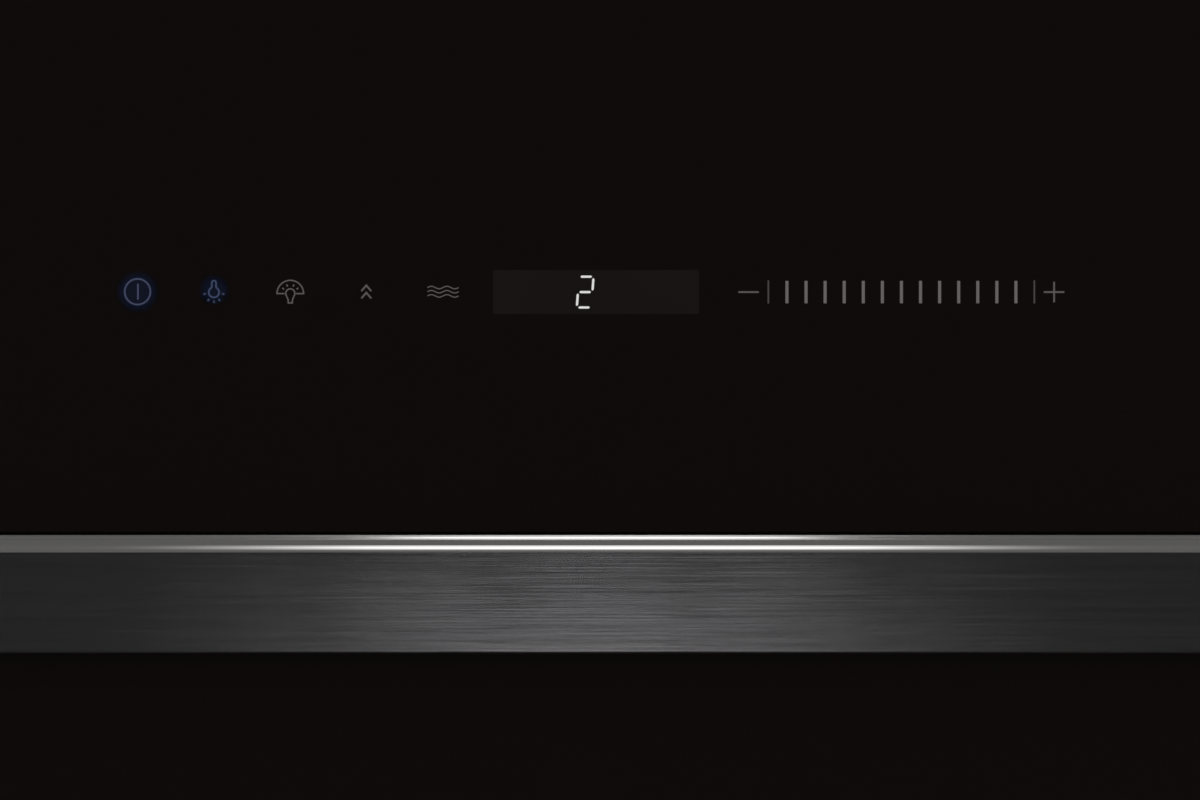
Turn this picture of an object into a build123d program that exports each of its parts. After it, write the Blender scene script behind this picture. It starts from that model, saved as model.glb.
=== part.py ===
from build123d import *

import os
from math import cos, pi, radians, sin, tan

os.makedirs("parts", exist_ok=True)

# A wall-mounted inclined range hood, in millimetres.
# X runs along the wall to the right, Y runs into the wall, Z runs up.
# The wall is the plane Y = 0, and the origin is the centre of the wall hole pattern.

# Overall size
HOOD_WIDTH = 890.0
HOOD_DEPTH = 499.0
TILT = radians(30)
GLASS_RUN = 525.0
BODY_TOP = 190.0
BODY_HEIGHT = 422.0
GLASS_DROP = 18.0
BODY_INSET = 18.0
SHEET = 1.0
SEAT_GAP = 0.3

# Wall holes
WALL_HOLE_DX = 300.0
WALL_HOLE_DZ = 260.0
WALL_HOLE_R = 4.25
HANG_PLATE_W = 34.0
HANG_PLATE_T = 2.5
HANG_PLATE_H = 50.0

# Glass, trim bar and flap, measured up the slope from the lower glass edge
GLASS = 4.0
GLASS_CORNER_R = 4.0
GLASS_CHAMFER = 0.5
TRIM_LOW = 300.0
TRIM_HIGH = 331.0
TRIM_PROUD = 5.0
TRIM_WALL = 1.5
TRIM_EDGE_R = 1.0
TRIM_LIFT = 0.8
TRIM_CAP = 1.5
LIP_FOOT_RUN = 0.6
LIP_FOOT_TILT = radians(45)
LIP_ROUND_RUN = 1.2
LIP_ROUND_FROM = radians(12)
LIP_ROUND_TO = radians(30)
LIP_SLOPE_RUN = 1.4
LIP_SLOPE_TILT = radians(46)
LIP_TOP_RUN = 1.2
LIP_TOP_TILT = radians(40)
LIP_GROOVE = 0.2
LIP_TOE = 5.6
LIP_TOE_T = 1.2
LIP_HAUNCH = 1.0
LEG_OFFSET = 1.5
GLASS_TO_TRIM = 0.4
FLAP_TUCK = 2.0
BOND = 1.0
BOND_RIM = 10.0
BOND_MARGIN = 4.0

# Body front: the lower part stands back so that air is drawn in around the flap
LOWER_SETBACK = 26.0
STEP_RUN = 314.0
LAP = 12.0
PAN_DEPTH = 15.0

# Flap plate, its rails and its two friction hinges
PAN_INSET = 9.0
PAN_LOW = 8.0
PAN_HIGH = 298.0
PAN_RETURN = 10.0
HINGE_INSET = 135.0
HINGE_RUN = 288.0
HINGE_BACK = 12.0
HINGE_PIN_R = 2.0
HINGE_FIXED_FIT = 0.02
HINGE_RUN_FIT = 0.06
HINGE_LEAF_T = 1.5
HINGE_EAR_T = 3.0
HINGE_FIXED_HALF = 14.0
HINGE_EAR_GAP = 0.5
HINGE_FIXED_R = 4.6
HINGE_MOVING_R = 4.5
HINGE_FIXED_LOW = 277.0
HINGE_FIXED_HIGH = 299.0
HINGE_ARM_LOW = 258.0
HINGE_ARM_HIGH = 296.0
HINGE_ARM_HALF = 20.0
HINGE_HEAD_R = 3.4
HINGE_HEAD_T = 1.2
MAGNET_INSET = 40.0
MAGNET_RUN = 16.0
MAGNET_W = 24.0
MAGNET_H = 13.0
BUMPER_INSET = 115.0
BUMPER_RUN = 15.0
BUMPER_HALF = 5.0

# Grease filters
FILTER_INSET = 59.0
FILTER_BETWEEN = 28.0
FILTER_H = 240.0
FILTER_T = 10.0
FILTER_CLEAR = 2.0
FILTER_BACK = 50.0
FILTER_LOW = 28.0
FILTER_RIM = 12.0
FILTER_SKIN = 0.8
FILTER_LEDGE = 6.0
MESH_T = 0.8
MESH_COLS = 6
MESH_ROWS = 4
MESH_BAR = 5.0
HANDLE_W = 90.0
HANDLE_H = 16.0
HANDLE_PROUD = 6.5
HANDLE_T = 1.2
CATCH_X = 110.0
CATCH_W = 16.0
CATCH_T = 0.6
CATCH_CLEAR = 2.0
CATCH_NOSE = 3.4
CATCH_NOSE_RISE = 4.0
CATCH_LEAF_ABOVE = 8.0

# Blower: a double-inlet scroll with a forward-curved impeller
FAN_Y = -210.0
FAN_Z = 50.0
FAN_R = 78.0
FAN_BLADE_DEPTH = 12.0
FAN_HALF = 66.0
FAN_BLADES = 16
FAN_BLADE_T = 1.2
BLADE_ARC_R = 15.0
BLADE_SHIFT = 3.9
BLADE_FROM = -105
BLADE_SWEEP = 47
BLADE_FLATS = 3
FAN_RING_T = 2.0
FAN_DISC_T = 2.5
FAN_DISC_LAP = 1.6
DISC_TURN = 1
FAN_HUB_R = 14.0
FAN_HUB_HALF = 9.0
SCROLL_START_R = 88.0
SCROLL_STEP = 12.0
SCROLL_HALF = 75.0
SCROLL_WALL = 2.5
SCROLL_NECK_Y = 95.0
SCROLL_NECK_TOP = 145.0
TONGUE_R = 5.0
INLET_R = 68.0
MOTOR_R = 44.0
MOTOR_GAP = 3.0
SHAFT_R = 4.0
SHAFT_FIT = 0.05
BRACKET_T = 2.5
BRACKET_FOOT_H = 3.0
BRACKET_HUB_R = 34.0
BRACKET_FIX_INSET = 2.0
BUSH_HALF = 7.0
BUSH_T = 3.0

# Outlet collar and back-draught dampers
OUTLET_Y = -140.0
COLLAR_R = 74.6
COLLAR_WALL = 1.6
COLLAR_H = 60.0
COLLAR_FLANGE_HALF = 84.0
COLLAR_FLANGE_T = 2.0
DAMPER_RISE = 35.0
DAMPER_T = 1.2
DAMPER_PIN_R = 1.5
DAMPER_FIT = 0.06
DAMPER_KNUCKLE_R = 3.0
DAMPER_KNUCKLE_X = 6.0
DAMPER_KNUCKLE_L = 52.0
DAMPER_SPLIT = 3.8
DAMPER_EDGE_GAP = 1.4
DAMPER_STOP_L = 6.0
DAMPER_STOP_W = 3.0

# Chimney covers
CHIMNEY_W = 270.0
CHIMNEY_D = 262.0
CHIMNEY_GAP = 1.0
CHIMNEY_LOWER_H = 455.0
CHIMNEY_UPPER_H = 483.0
CHIMNEY_EXTENDED = 120.0
CHIMNEY_FLANGE = 15.0
CHIMNEY_FOOT = 14.0
CHIMNEY_FOOT_YS = (-210.0, -65.0)
CHIMNEY_BEND_R = 2.5
CHIMNEY_LOW_CLEAR = 5.0
WALL_BRACKET_T = 2.0
WALL_BRACKET_H = 26.0
WALL_BRACKET_DROP = 2.0
WALL_BRACKET_TAB = 26.0
WALL_BRACKET_HOLE_DX = 160.0
WALL_BRACKET_HOLE_R = 3.0
WALL_BRACKET_BOSS_HALF = 10.0

# Touch controls behind the upper glass
CONTROL_RUN = 395.0
CONTROL_W = 304.0
CONTROL_H = 58.0
CONTROL_DEPTH = 22.0
CONTROL_WALL = 2.0
CONTROL_FLANGE = 8.0
BOSS_W = 6.0
BOSS_DX = 244.0
BOSS_DY = 36.0
CHIP_W = 22.0
CHIP_H = 14.0
CHIP_T = 2.2
CHIP_XS = (-92.0, 0.0, 76.0)
BOARD_T = 1.6
GUIDE_T = 3.6
DISPLAY_W = 54.6
DISPLAY_H = 11.8
DISPLAY_X = -1.2

# Lamps in the underside
LAMP_INSET = 195.0
LAMP_Y = -112.0
LAMP_W = 86.0
LAMP_D = 40.0
LAMP_RIM = 5.0
LAMP_RIM_T = 1.5
LAMP_SLEEVE = 1.2
LAMP_LENS_T = 2.0
LAMP_CAN_H = 16.0
LAMP_TAPER = 8

# Ambient light profile behind the top overhang of the glass
AMBIENT_INSET = 45.0
AMBIENT_LOW = 509.0
AMBIENT_H = 11.0
AMBIENT_T = 10.0
AMBIENT_WALL = 1.2

# Mains connection
POWER_INSET = 135.0
POWER_W = 160.0
POWER_D = 60.0
POWER_H = 90.0
POWER_WALL = 2.0
POWER_DROP = 12.0
POWER_BOARD_W = 144.0
POWER_BOARD_H = 76.0
COIL_X = 40.0
COIL_W = 34.0
COIL_H = 40.0
COIL_T = 30.0
TERMINAL_X = 32.0
TERMINAL_W = 46.0
TERMINAL_H = 22.0
GLAND_X = 104.0
GLAND_Y = -40.0
GLAND_R = 9.0
GLAND_HEAD_R = 12.0
GLAND_HEAD_H = 12.0
GLAND_BORE_R = 4.0
GLAND_FIT = 0.1

# Worked out from the sizes above
UP = (0, -sin(TILT), cos(TILT))
OUT = (0, -cos(TILT), -sin(TILT))
GLASS_LOW_Y = -HOOD_DEPTH + GLASS_RUN * sin(TILT)
BODY_BOTTOM = BODY_TOP - BODY_HEIGHT
GLASS_LOW_Z = BODY_BOTTOM - GLASS_DROP
BODY_HALF = HOOD_WIDTH / 2 - BODY_INSET
GLASS_HALF = HOOD_WIDTH / 2
UPPER_PLANE = -GLASS - BOND
LOWER_PLANE = -LOWER_SETBACK
BRACKET_FIX_R = SCROLL_START_R - BRACKET_FIX_INSET
FILTER_W = GLASS_HALF - FILTER_INSET - FILTER_BETWEEN / 2
FILTER_X = (FILTER_BETWEEN + FILTER_W) / 2
FILTER_MID = FILTER_LOW + FILTER_H / 2
OPENING_W = FILTER_W + 2 * FILTER_CLEAR
OPENING_H = FILTER_H + 2 * FILTER_CLEAR
COLLAR_INNER_R = COLLAR_R - COLLAR_WALL
HINGE_X = GLASS_HALF - HINGE_INSET
MAGNET_X = GLASS_HALF - MAGNET_INSET
BUMPER_X = GLASS_HALF - BUMPER_INSET
LAMP_X = GLASS_HALF - LAMP_INSET
AMBIENT_HALF = GLASS_HALF - AMBIENT_INSET
POWER_X = POWER_INSET - GLASS_HALF

lamp_spots = [(-LAMP_X, LAMP_Y), (LAMP_X, LAMP_Y)]

# The slope frame: local x is X, local y runs up the glass, and the normal leaves the glass
FACE = Plane(origin=(0, GLASS_LOW_Y, GLASS_LOW_Z), x_dir=(1, 0, 0), z_dir=OUT)
# The slope section: local x runs up the glass, local y leaves the glass, the normal is X
SECTION = Plane(origin=(0, GLASS_LOW_Y, GLASS_LOW_Z), x_dir=UP, z_dir=(1, 0, 0))


def run_at(z, out):
    """How far up the slope the plane `out` in front of the glass face reaches height z."""
    return (z - GLASS_LOW_Z + out * sin(TILT)) / cos(TILT)


def slope_yz(run, out):
    """Turn a place on the slope section into Y and Z."""
    y = GLASS_LOW_Y - run * sin(TILT) - out * cos(TILT)
    z = GLASS_LOW_Z + run * cos(TILT) - out * sin(TILT)
    return (y, z)


def depth_at(z, out):
    """The Y of the plane `out` in front of the glass face at height z."""
    return slope_yz(run_at(z, out), out)[0]


def keep(builder, name):
    """Label a finished piece and write it under its own name."""
    builder.part.label = name
    export_step(builder.part, f"parts/{name}.step")


# Body sheets

with BuildPart() as back_panel:
    with BuildSketch(Plane.XZ):
        with Locations((0, BODY_TOP - BODY_HEIGHT / 2)):
            Rectangle(2 * BODY_HALF, BODY_HEIGHT)
        with GridLocations(WALL_HOLE_DX, WALL_HOLE_DZ, 2, 2):
            Circle(WALL_HOLE_R, mode=Mode.SUBTRACT)
    extrude(amount=SHEET)
keep(back_panel, "back_panel")

with BuildPart() as hang_plates:
    with BuildSketch(Plane.XZ.offset(SHEET)):
        with Locations((0, WALL_HOLE_DZ / 2)):
            with GridLocations(WALL_HOLE_DX, 0, 2, 1):
                Rectangle(HANG_PLATE_W, HANG_PLATE_H)
                Circle(WALL_HOLE_R, mode=Mode.SUBTRACT)
    extrude(amount=HANG_PLATE_T)
keep(hang_plates, "hang_plates")

# The side sheets are shallow pans whose outline follows the stepped, sloping front
inner_top = BODY_TOP - SHEET
inner_bottom = BODY_BOTTOM + SHEET
side_outline = [
    (-SHEET, inner_bottom),
    (depth_at(inner_bottom, LOWER_PLANE - SHEET), inner_bottom),
    slope_yz(STEP_RUN + SHEET, LOWER_PLANE - SHEET),
    slope_yz(STEP_RUN + SHEET, UPPER_PLANE - SHEET),
    (depth_at(inner_top, UPPER_PLANE - SHEET), inner_top),
    (-SHEET, inner_top),
]
with BuildPart() as side_panel_right:
    with BuildSketch(Plane.YZ.offset(BODY_HALF)):
        with BuildLine():
            Polyline(*side_outline, close=True)
        make_face()
    extrude(amount=-PAN_DEPTH)
    offset(amount=-SHEET, openings=side_panel_right.faces().sort_by(Axis.X)[0])
keep(side_panel_right, "side_panel_right")

with BuildPart() as side_panel_left:
    mirror(side_panel_right.part, about=Plane.YZ)
keep(side_panel_left, "side_panel_left")

with BuildPart() as top_panel:
    with BuildSketch(Plane.YZ):
        with BuildLine():
            Polyline(
                (-SHEET, inner_top),
                (-SHEET, BODY_TOP),
                (depth_at(BODY_TOP, UPPER_PLANE - SHEET), BODY_TOP),
                (depth_at(inner_top, UPPER_PLANE - SHEET), inner_top),
                close=True,
            )
        make_face()
    extrude(amount=BODY_HALF, both=True)
    with BuildSketch(Plane.XY.offset(BODY_TOP)):
        with Locations((0, OUTLET_Y)):
            Circle(COLLAR_INNER_R)
        with Locations((GLAND_X, GLAND_Y)):
            Circle(GLAND_R)
    extrude(amount=-SHEET, mode=Mode.SUBTRACT)
keep(top_panel, "top_panel")

with BuildPart() as bottom_panel:
    with BuildSketch(Plane.YZ):
        with BuildLine():
            Polyline(
                (-SHEET, BODY_BOTTOM),
                (-SHEET, inner_bottom),
                (depth_at(inner_bottom, LOWER_PLANE - SHEET), inner_bottom),
                (depth_at(BODY_BOTTOM, LOWER_PLANE - SHEET), BODY_BOTTOM),
                close=True,
            )
        make_face()
    extrude(amount=BODY_HALF, both=True)
    with BuildSketch(Plane.XY.offset(BODY_BOTTOM)):
        with Locations(*lamp_spots):
            Rectangle(LAMP_W, LAMP_D)
    extrude(amount=SHEET, mode=Mode.SUBTRACT)
keep(bottom_panel, "bottom_panel")

# The upper front sheet steps out to the glass and laps behind the filter panel
upper_front_top = run_at(BODY_TOP, UPPER_PLANE)
with BuildPart() as upper_front_panel:
    with BuildSketch(SECTION):
        with BuildLine():
            Polyline(
                (STEP_RUN - LAP, LOWER_PLANE - 2 * SHEET),
                (STEP_RUN + SHEET, LOWER_PLANE - 2 * SHEET),
                (STEP_RUN + SHEET, UPPER_PLANE - SHEET),
                (upper_front_top, UPPER_PLANE - SHEET),
                (upper_front_top, UPPER_PLANE),
                (STEP_RUN, UPPER_PLANE),
                (STEP_RUN, LOWER_PLANE - SHEET),
                (STEP_RUN - LAP, LOWER_PLANE - SHEET),
                close=True,
            )
        make_face()
    extrude(amount=BODY_HALF, both=True)
    lap_half = BODY_HALF - PAN_DEPTH - SHEET
    lap_cut = BODY_HALF - lap_half
    with BuildSketch(FACE.offset(LOWER_PLANE - SHEET)):
        with Locations((lap_half + lap_cut / 2, STEP_RUN), (-lap_half - lap_cut / 2, STEP_RUN)):
            Rectangle(lap_cut, 4 * LAP)
    extrude(amount=-2 * SHEET, mode=Mode.SUBTRACT)
    with BuildSketch(FACE.offset(UPPER_PLANE)):
        with Locations((0, CONTROL_RUN)):
            Rectangle(CONTROL_W, CONTROL_H)
    extrude(amount=-SHEET, mode=Mode.SUBTRACT)
keep(upper_front_panel, "upper_front_panel")

# The filter panel is a flat sheet with an opening over each filter tray
panel_low = run_at(BODY_BOTTOM, LOWER_PLANE - SHEET)
filter_spots = [(-FILTER_X, FILTER_MID), (FILTER_X, FILTER_MID)]
with BuildPart() as filter_panel:
    with BuildSketch(FACE.offset(LOWER_PLANE)):
        with Locations((0, (panel_low + STEP_RUN) / 2)):
            Rectangle(2 * BODY_HALF, STEP_RUN - panel_low)
        with Locations(*filter_spots):
            Rectangle(OPENING_W, OPENING_H, mode=Mode.SUBTRACT)
    extrude(amount=-SHEET)
keep(filter_panel, "filter_panel")

# Each tray is a folded wall welded behind the sheet, with a ledge that the filter rests on
tray_front = LOWER_PLANE - SHEET
tray_depth = FILTER_BACK - LOWER_SETBACK
with BuildPart() as filter_trays:
    with BuildSketch(FACE.offset(tray_front)):
        with Locations(*filter_spots):
            Rectangle(OPENING_W + 2 * SHEET, OPENING_H + 2 * SHEET)
            Rectangle(OPENING_W, OPENING_H, mode=Mode.SUBTRACT)
    extrude(amount=-tray_depth)
    with BuildSketch(FACE.offset(tray_front - tray_depth)):
        with Locations(*filter_spots):
            Rectangle(OPENING_W + 2 * SHEET, OPENING_H + 2 * SHEET)
            Rectangle(OPENING_W - 2 * FILTER_LEDGE, OPENING_H - 2 * FILTER_LEDGE, mode=Mode.SUBTRACT)
    extrude(amount=SHEET)
keep(filter_trays, "filter_trays")

# Fixed upper glass, bonded to the body on a rim of adhesive tape

upper_glass_low = TRIM_HIGH + GLASS_TO_TRIM
with BuildPart() as upper_glass:
    with BuildSketch(FACE.offset(-GLASS)) as upper_glass_outline:
        with Locations((0, (upper_glass_low + GLASS_RUN) / 2)):
            Rectangle(2 * GLASS_HALF, GLASS_RUN - upper_glass_low)
        fillet(upper_glass_outline.vertices().sort_by(Axis.Y)[2:], GLASS_CORNER_R)
    extrude(amount=GLASS)
    chamfer(upper_glass.faces().sort_by(Axis(FACE.origin, OUT))[-1].edges(), GLASS_CHAMFER)
keep(upper_glass, "upper_glass")

bond_low = upper_glass_low + BOND_MARGIN
bond_high = upper_front_top - BOND_MARGIN
with BuildPart() as glass_bond:
    with BuildSketch(FACE.offset(UPPER_PLANE)):
        with Locations((0, (bond_low + bond_high) / 2)):
            Rectangle(2 * (BODY_HALF - BOND_MARGIN), bond_high - bond_low)
            Rectangle(
                2 * (BODY_HALF - BOND_MARGIN - BOND_RIM),
                bond_high - bond_low - 2 * BOND_RIM,
                mode=Mode.SUBTRACT,
            )
    extrude(amount=BOND)
keep(glass_bond, "glass_bond")

# Trim bar: a brushed extrusion that covers the joint, with a bright rounded edge strip on top

face_back = TRIM_PROUD - TRIM_WALL
leg_run = STEP_RUN + LEG_OFFSET
diag = sin(pi / 4)
edge_arc_mid = (TRIM_LOW + TRIM_EDGE_R * (1 - diag), TRIM_PROUD - TRIM_EDGE_R * (1 - diag))
bar_half = GLASS_HALF - TRIM_CAP
# The edge strip falls back over a short foot, a soft round, a steep slope and a lighter one on top
lip_low = TRIM_HIGH - LIP_FOOT_RUN - LIP_ROUND_RUN - LIP_SLOPE_RUN - LIP_TOP_RUN
lip_round_r = LIP_ROUND_RUN / (sin(LIP_ROUND_TO) - sin(LIP_ROUND_FROM))
lip_round_centre = (
    lip_low + LIP_FOOT_RUN - lip_round_r * sin(LIP_ROUND_FROM),
    TRIM_PROUD - LIP_FOOT_RUN * tan(LIP_FOOT_TILT) - lip_round_r * cos(LIP_ROUND_FROM),
)


def lip_round_at(tilt):
    """Find the place on the soft round whose normal leans by `tilt`."""
    return (lip_round_centre[0] + lip_round_r * sin(tilt), lip_round_centre[1] + lip_round_r * cos(tilt))


lip_round_start = lip_round_at(LIP_ROUND_FROM)
lip_round_mid = lip_round_at((LIP_ROUND_FROM + LIP_ROUND_TO) / 2)
lip_round_end = lip_round_at(LIP_ROUND_TO)
lip_slope_end = (
    lip_round_end[0] + LIP_SLOPE_RUN,
    lip_round_end[1] - LIP_SLOPE_RUN * tan(LIP_SLOPE_TILT),
)
lip_top = (TRIM_HIGH, lip_slope_end[1] - LIP_TOP_RUN * tan(LIP_TOP_TILT))

with BuildPart() as trim_bar:
    with BuildSketch(SECTION):
        with BuildLine():
            Line((TRIM_LOW, TRIM_LIFT), (TRIM_LOW, TRIM_PROUD - TRIM_EDGE_R))
            ThreePointArc(
                (TRIM_LOW, TRIM_PROUD - TRIM_EDGE_R),
                edge_arc_mid,
                (TRIM_LOW + TRIM_EDGE_R, TRIM_PROUD),
            )
            Polyline(
                (TRIM_LOW + TRIM_EDGE_R, TRIM_PROUD),
                (lip_low - LIP_GROOVE, TRIM_PROUD),
                (lip_low - LIP_GROOVE, face_back),
                (leg_run + TRIM_WALL, face_back),
                (leg_run + TRIM_WALL, UPPER_PLANE),
                (leg_run, UPPER_PLANE),
                (leg_run, face_back),
                (TRIM_LOW + TRIM_WALL, face_back),
                (TRIM_LOW + TRIM_WALL, TRIM_LIFT),
                (TRIM_LOW, TRIM_LIFT),
            )
        make_face()
    extrude(amount=bar_half, both=True)
keep(trim_bar, "trim_bar")

with BuildPart() as trim_edge:
    with BuildSketch(SECTION):
        with BuildLine():
            Line((lip_low, TRIM_PROUD), lip_round_start)
            ThreePointArc(lip_round_start, lip_round_mid, lip_round_end)
            Polyline(
                lip_round_end,
                lip_slope_end,
                lip_top,
                (TRIM_HIGH, UPPER_PLANE),
                (TRIM_HIGH - TRIM_WALL, UPPER_PLANE),
                (TRIM_HIGH - TRIM_WALL, face_back - LIP_TOE_T - LIP_HAUNCH),
                (TRIM_HIGH - TRIM_WALL - LIP_HAUNCH, face_back - LIP_TOE_T),
                (lip_low - LIP_TOE, face_back - LIP_TOE_T),
                (lip_low - LIP_TOE, face_back),
                (lip_low, face_back),
                (lip_low, TRIM_PROUD),
            )
        make_face()
    extrude(amount=bar_half, both=True)
keep(trim_edge, "trim_edge")

with BuildPart() as trim_end_caps:
    for cap_x in (-GLASS_HALF, bar_half):
        with BuildSketch(Plane(origin=FACE.origin + Vector(cap_x, 0, 0), x_dir=UP, z_dir=(1, 0, 0))):
            with BuildLine():
                Line((TRIM_LOW, TRIM_LIFT), (TRIM_LOW, TRIM_PROUD - TRIM_EDGE_R))
                ThreePointArc(
                    (TRIM_LOW, TRIM_PROUD - TRIM_EDGE_R),
                    edge_arc_mid,
                    (TRIM_LOW + TRIM_EDGE_R, TRIM_PROUD),
                )
                Polyline((TRIM_LOW + TRIM_EDGE_R, TRIM_PROUD), (lip_low, TRIM_PROUD), lip_round_start)
                ThreePointArc(lip_round_start, lip_round_mid, lip_round_end)
                Polyline(
                    lip_round_end,
                    lip_slope_end,
                    lip_top,
                    (TRIM_HIGH, TRIM_LIFT - GLASS),
                    (leg_run, TRIM_LIFT - GLASS),
                    (leg_run, TRIM_LIFT),
                    (TRIM_LOW, TRIM_LIFT),
                )
            make_face()
        extrude(amount=TRIM_CAP)
keep(trim_end_caps, "trim_end_caps")

# Flap: a glass sheet on a railed steel plate, hung from two hinges behind the trim bar

flap_high = TRIM_LOW + FLAP_TUCK
with BuildPart() as flap_glass:
    with BuildSketch(FACE.offset(-GLASS)) as flap_outline:
        with Locations((0, flap_high / 2)):
            Rectangle(2 * GLASS_HALF, flap_high)
        fillet(flap_outline.vertices().sort_by(Axis.Y)[:2], GLASS_CORNER_R)
    extrude(amount=GLASS)
    chamfer(flap_glass.faces().sort_by(Axis(FACE.origin, OUT))[-1].edges(), GLASS_CHAMFER)
keep(flap_glass, "flap_glass")

pan_half = GLASS_HALF - PAN_INSET
with BuildPart() as flap_frame:
    with BuildSketch(FACE.offset(-GLASS)):
        with Locations((0, (PAN_LOW + PAN_HIGH) / 2)):
            Rectangle(2 * pan_half, PAN_HIGH - PAN_LOW)
    extrude(amount=-SHEET)
keep(flap_frame, "flap_frame")

# Three rails stiffen the plate along its sides and its lower edge
pan_back = -GLASS - SHEET
rail_x = pan_half - SHEET / 2
with BuildPart() as flap_rails:
    with BuildSketch(FACE.offset(pan_back)):
        with Locations((-rail_x, (PAN_LOW + PAN_HIGH) / 2), (rail_x, (PAN_LOW + PAN_HIGH) / 2)):
            Rectangle(SHEET, PAN_HIGH - PAN_LOW)
        with Locations((0, PAN_LOW + SHEET / 2)):
            Rectangle(2 * (pan_half - SHEET - SEAT_GAP), SHEET)
    extrude(amount=-PAN_RETURN)
keep(flap_rails, "flap_rails")

fixed_ears = [(HINGE_FIXED_HALF - HINGE_EAR_T, HINGE_EAR_T), (-HINGE_FIXED_HALF, HINGE_EAR_T)]
knuckle_half = HINGE_FIXED_HALF - HINGE_EAR_T - HINGE_EAR_GAP


def hinge_ear(x_start, width, out_base, half_width, tip, hole_r):
    """Add one hinge ear that runs from a leaf at `out_base` past the pin to `tip`."""
    with BuildSketch(Plane(origin=FACE.origin + Vector(x_start, 0, 0), x_dir=UP, z_dir=(1, 0, 0))) as ear:
        with Locations((HINGE_RUN, (out_base + tip) / 2)):
            Rectangle(2 * half_width, abs(out_base - tip))
        chamfer(ear.vertices().filter_by_position(Axis.Y, tip - SEAT_GAP, tip + SEAT_GAP), half_width / 2)
        with Locations((HINGE_RUN, -HINGE_BACK)):
            Circle(hole_r, mode=Mode.SUBTRACT)
    extrude(ear.sketch, amount=width)


with BuildPart() as hinge_brackets:
    for hinge_x in (-HINGE_X, HINGE_X):
        with BuildSketch(FACE.offset(LOWER_PLANE)):
            with Locations((hinge_x, (HINGE_FIXED_LOW + HINGE_FIXED_HIGH) / 2)):
                Rectangle(2 * HINGE_FIXED_HALF, HINGE_FIXED_HIGH - HINGE_FIXED_LOW)
        extrude(amount=HINGE_LEAF_T)
        for ear_x, ear_w in fixed_ears:
            hinge_ear(
                hinge_x + ear_x,
                ear_w,
                LOWER_PLANE + HINGE_LEAF_T,
                HINGE_FIXED_R,
                HINGE_FIXED_R - HINGE_BACK,
                HINGE_PIN_R + HINGE_FIXED_FIT,
            )
keep(hinge_brackets, "hinge_brackets")

with BuildPart() as hinge_arms:
    for hinge_x in (-HINGE_X, HINGE_X):
        with BuildSketch(FACE.offset(pan_back)):
            with Locations((hinge_x, (HINGE_ARM_LOW + HINGE_ARM_HIGH) / 2)):
                Rectangle(2 * HINGE_ARM_HALF, HINGE_ARM_HIGH - HINGE_ARM_LOW)
        extrude(amount=-HINGE_LEAF_T)
        hinge_ear(
            hinge_x - knuckle_half,
            2 * knuckle_half,
            pan_back - HINGE_LEAF_T,
            HINGE_MOVING_R,
            -HINGE_MOVING_R - HINGE_BACK,
            HINGE_PIN_R + HINGE_RUN_FIT,
        )
keep(hinge_arms, "hinge_arms")

with BuildPart() as hinge_pins:
    for hinge_x in (-HINGE_X, HINGE_X):
        pin_start = hinge_x - HINGE_FIXED_HALF
        with BuildSketch(Plane(origin=FACE.origin + Vector(pin_start, 0, 0), x_dir=UP, z_dir=(1, 0, 0))):
            with Locations((HINGE_RUN, -HINGE_BACK)):
                Circle(HINGE_PIN_R)
        extrude(amount=2 * HINGE_FIXED_HALF)
        for head_start in (pin_start - HINGE_HEAD_T, pin_start + 2 * HINGE_FIXED_HALF):
            head_origin = FACE.origin + Vector(head_start, 0, 0)
            with BuildSketch(Plane(origin=head_origin, x_dir=UP, z_dir=(1, 0, 0))):
                with Locations((HINGE_RUN, -HINGE_BACK)):
                    RegularPolygon(HINGE_HEAD_R, 6)
            extrude(amount=HINGE_HEAD_T)
keep(hinge_pins, "hinge_pins")

post_height = LOWER_SETBACK + pan_back - SEAT_GAP
with BuildPart() as flap_magnets:
    with BuildSketch(FACE.offset(LOWER_PLANE)):
        with Locations((-MAGNET_X, MAGNET_RUN), (MAGNET_X, MAGNET_RUN)):
            Rectangle(MAGNET_W, MAGNET_H)
    extrude(amount=post_height)
keep(flap_magnets, "flap_magnets")

with BuildPart() as flap_bumpers:
    with BuildSketch(FACE.offset(LOWER_PLANE)):
        with Locations((-BUMPER_X, BUMPER_RUN), (BUMPER_X, BUMPER_RUN)):
            Rectangle(2 * BUMPER_HALF, 2 * BUMPER_HALF)
    extrude(amount=post_height)
keep(flap_bumpers, "flap_bumpers")

# Grease filters: a channel frame round a mesh pack, with a finger pull on the top rim

filter_back = -FILTER_BACK + SEAT_GAP
filter_front = filter_back + FILTER_T
mesh_w = FILTER_W - 2 * FILTER_SKIN - 2 * SEAT_GAP
mesh_h = FILTER_H - 2 * FILTER_SKIN - 2 * SEAT_GAP
cell_x = (FILTER_W - 2 * FILTER_RIM) / MESH_COLS
cell_y = (FILTER_H - 2 * FILTER_RIM) / MESH_ROWS
core_t = FILTER_T - 2 * FILTER_SKIN - 2 * MESH_T
catch_low = FILTER_LOW + FILTER_H + FILTER_CLEAR


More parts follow.
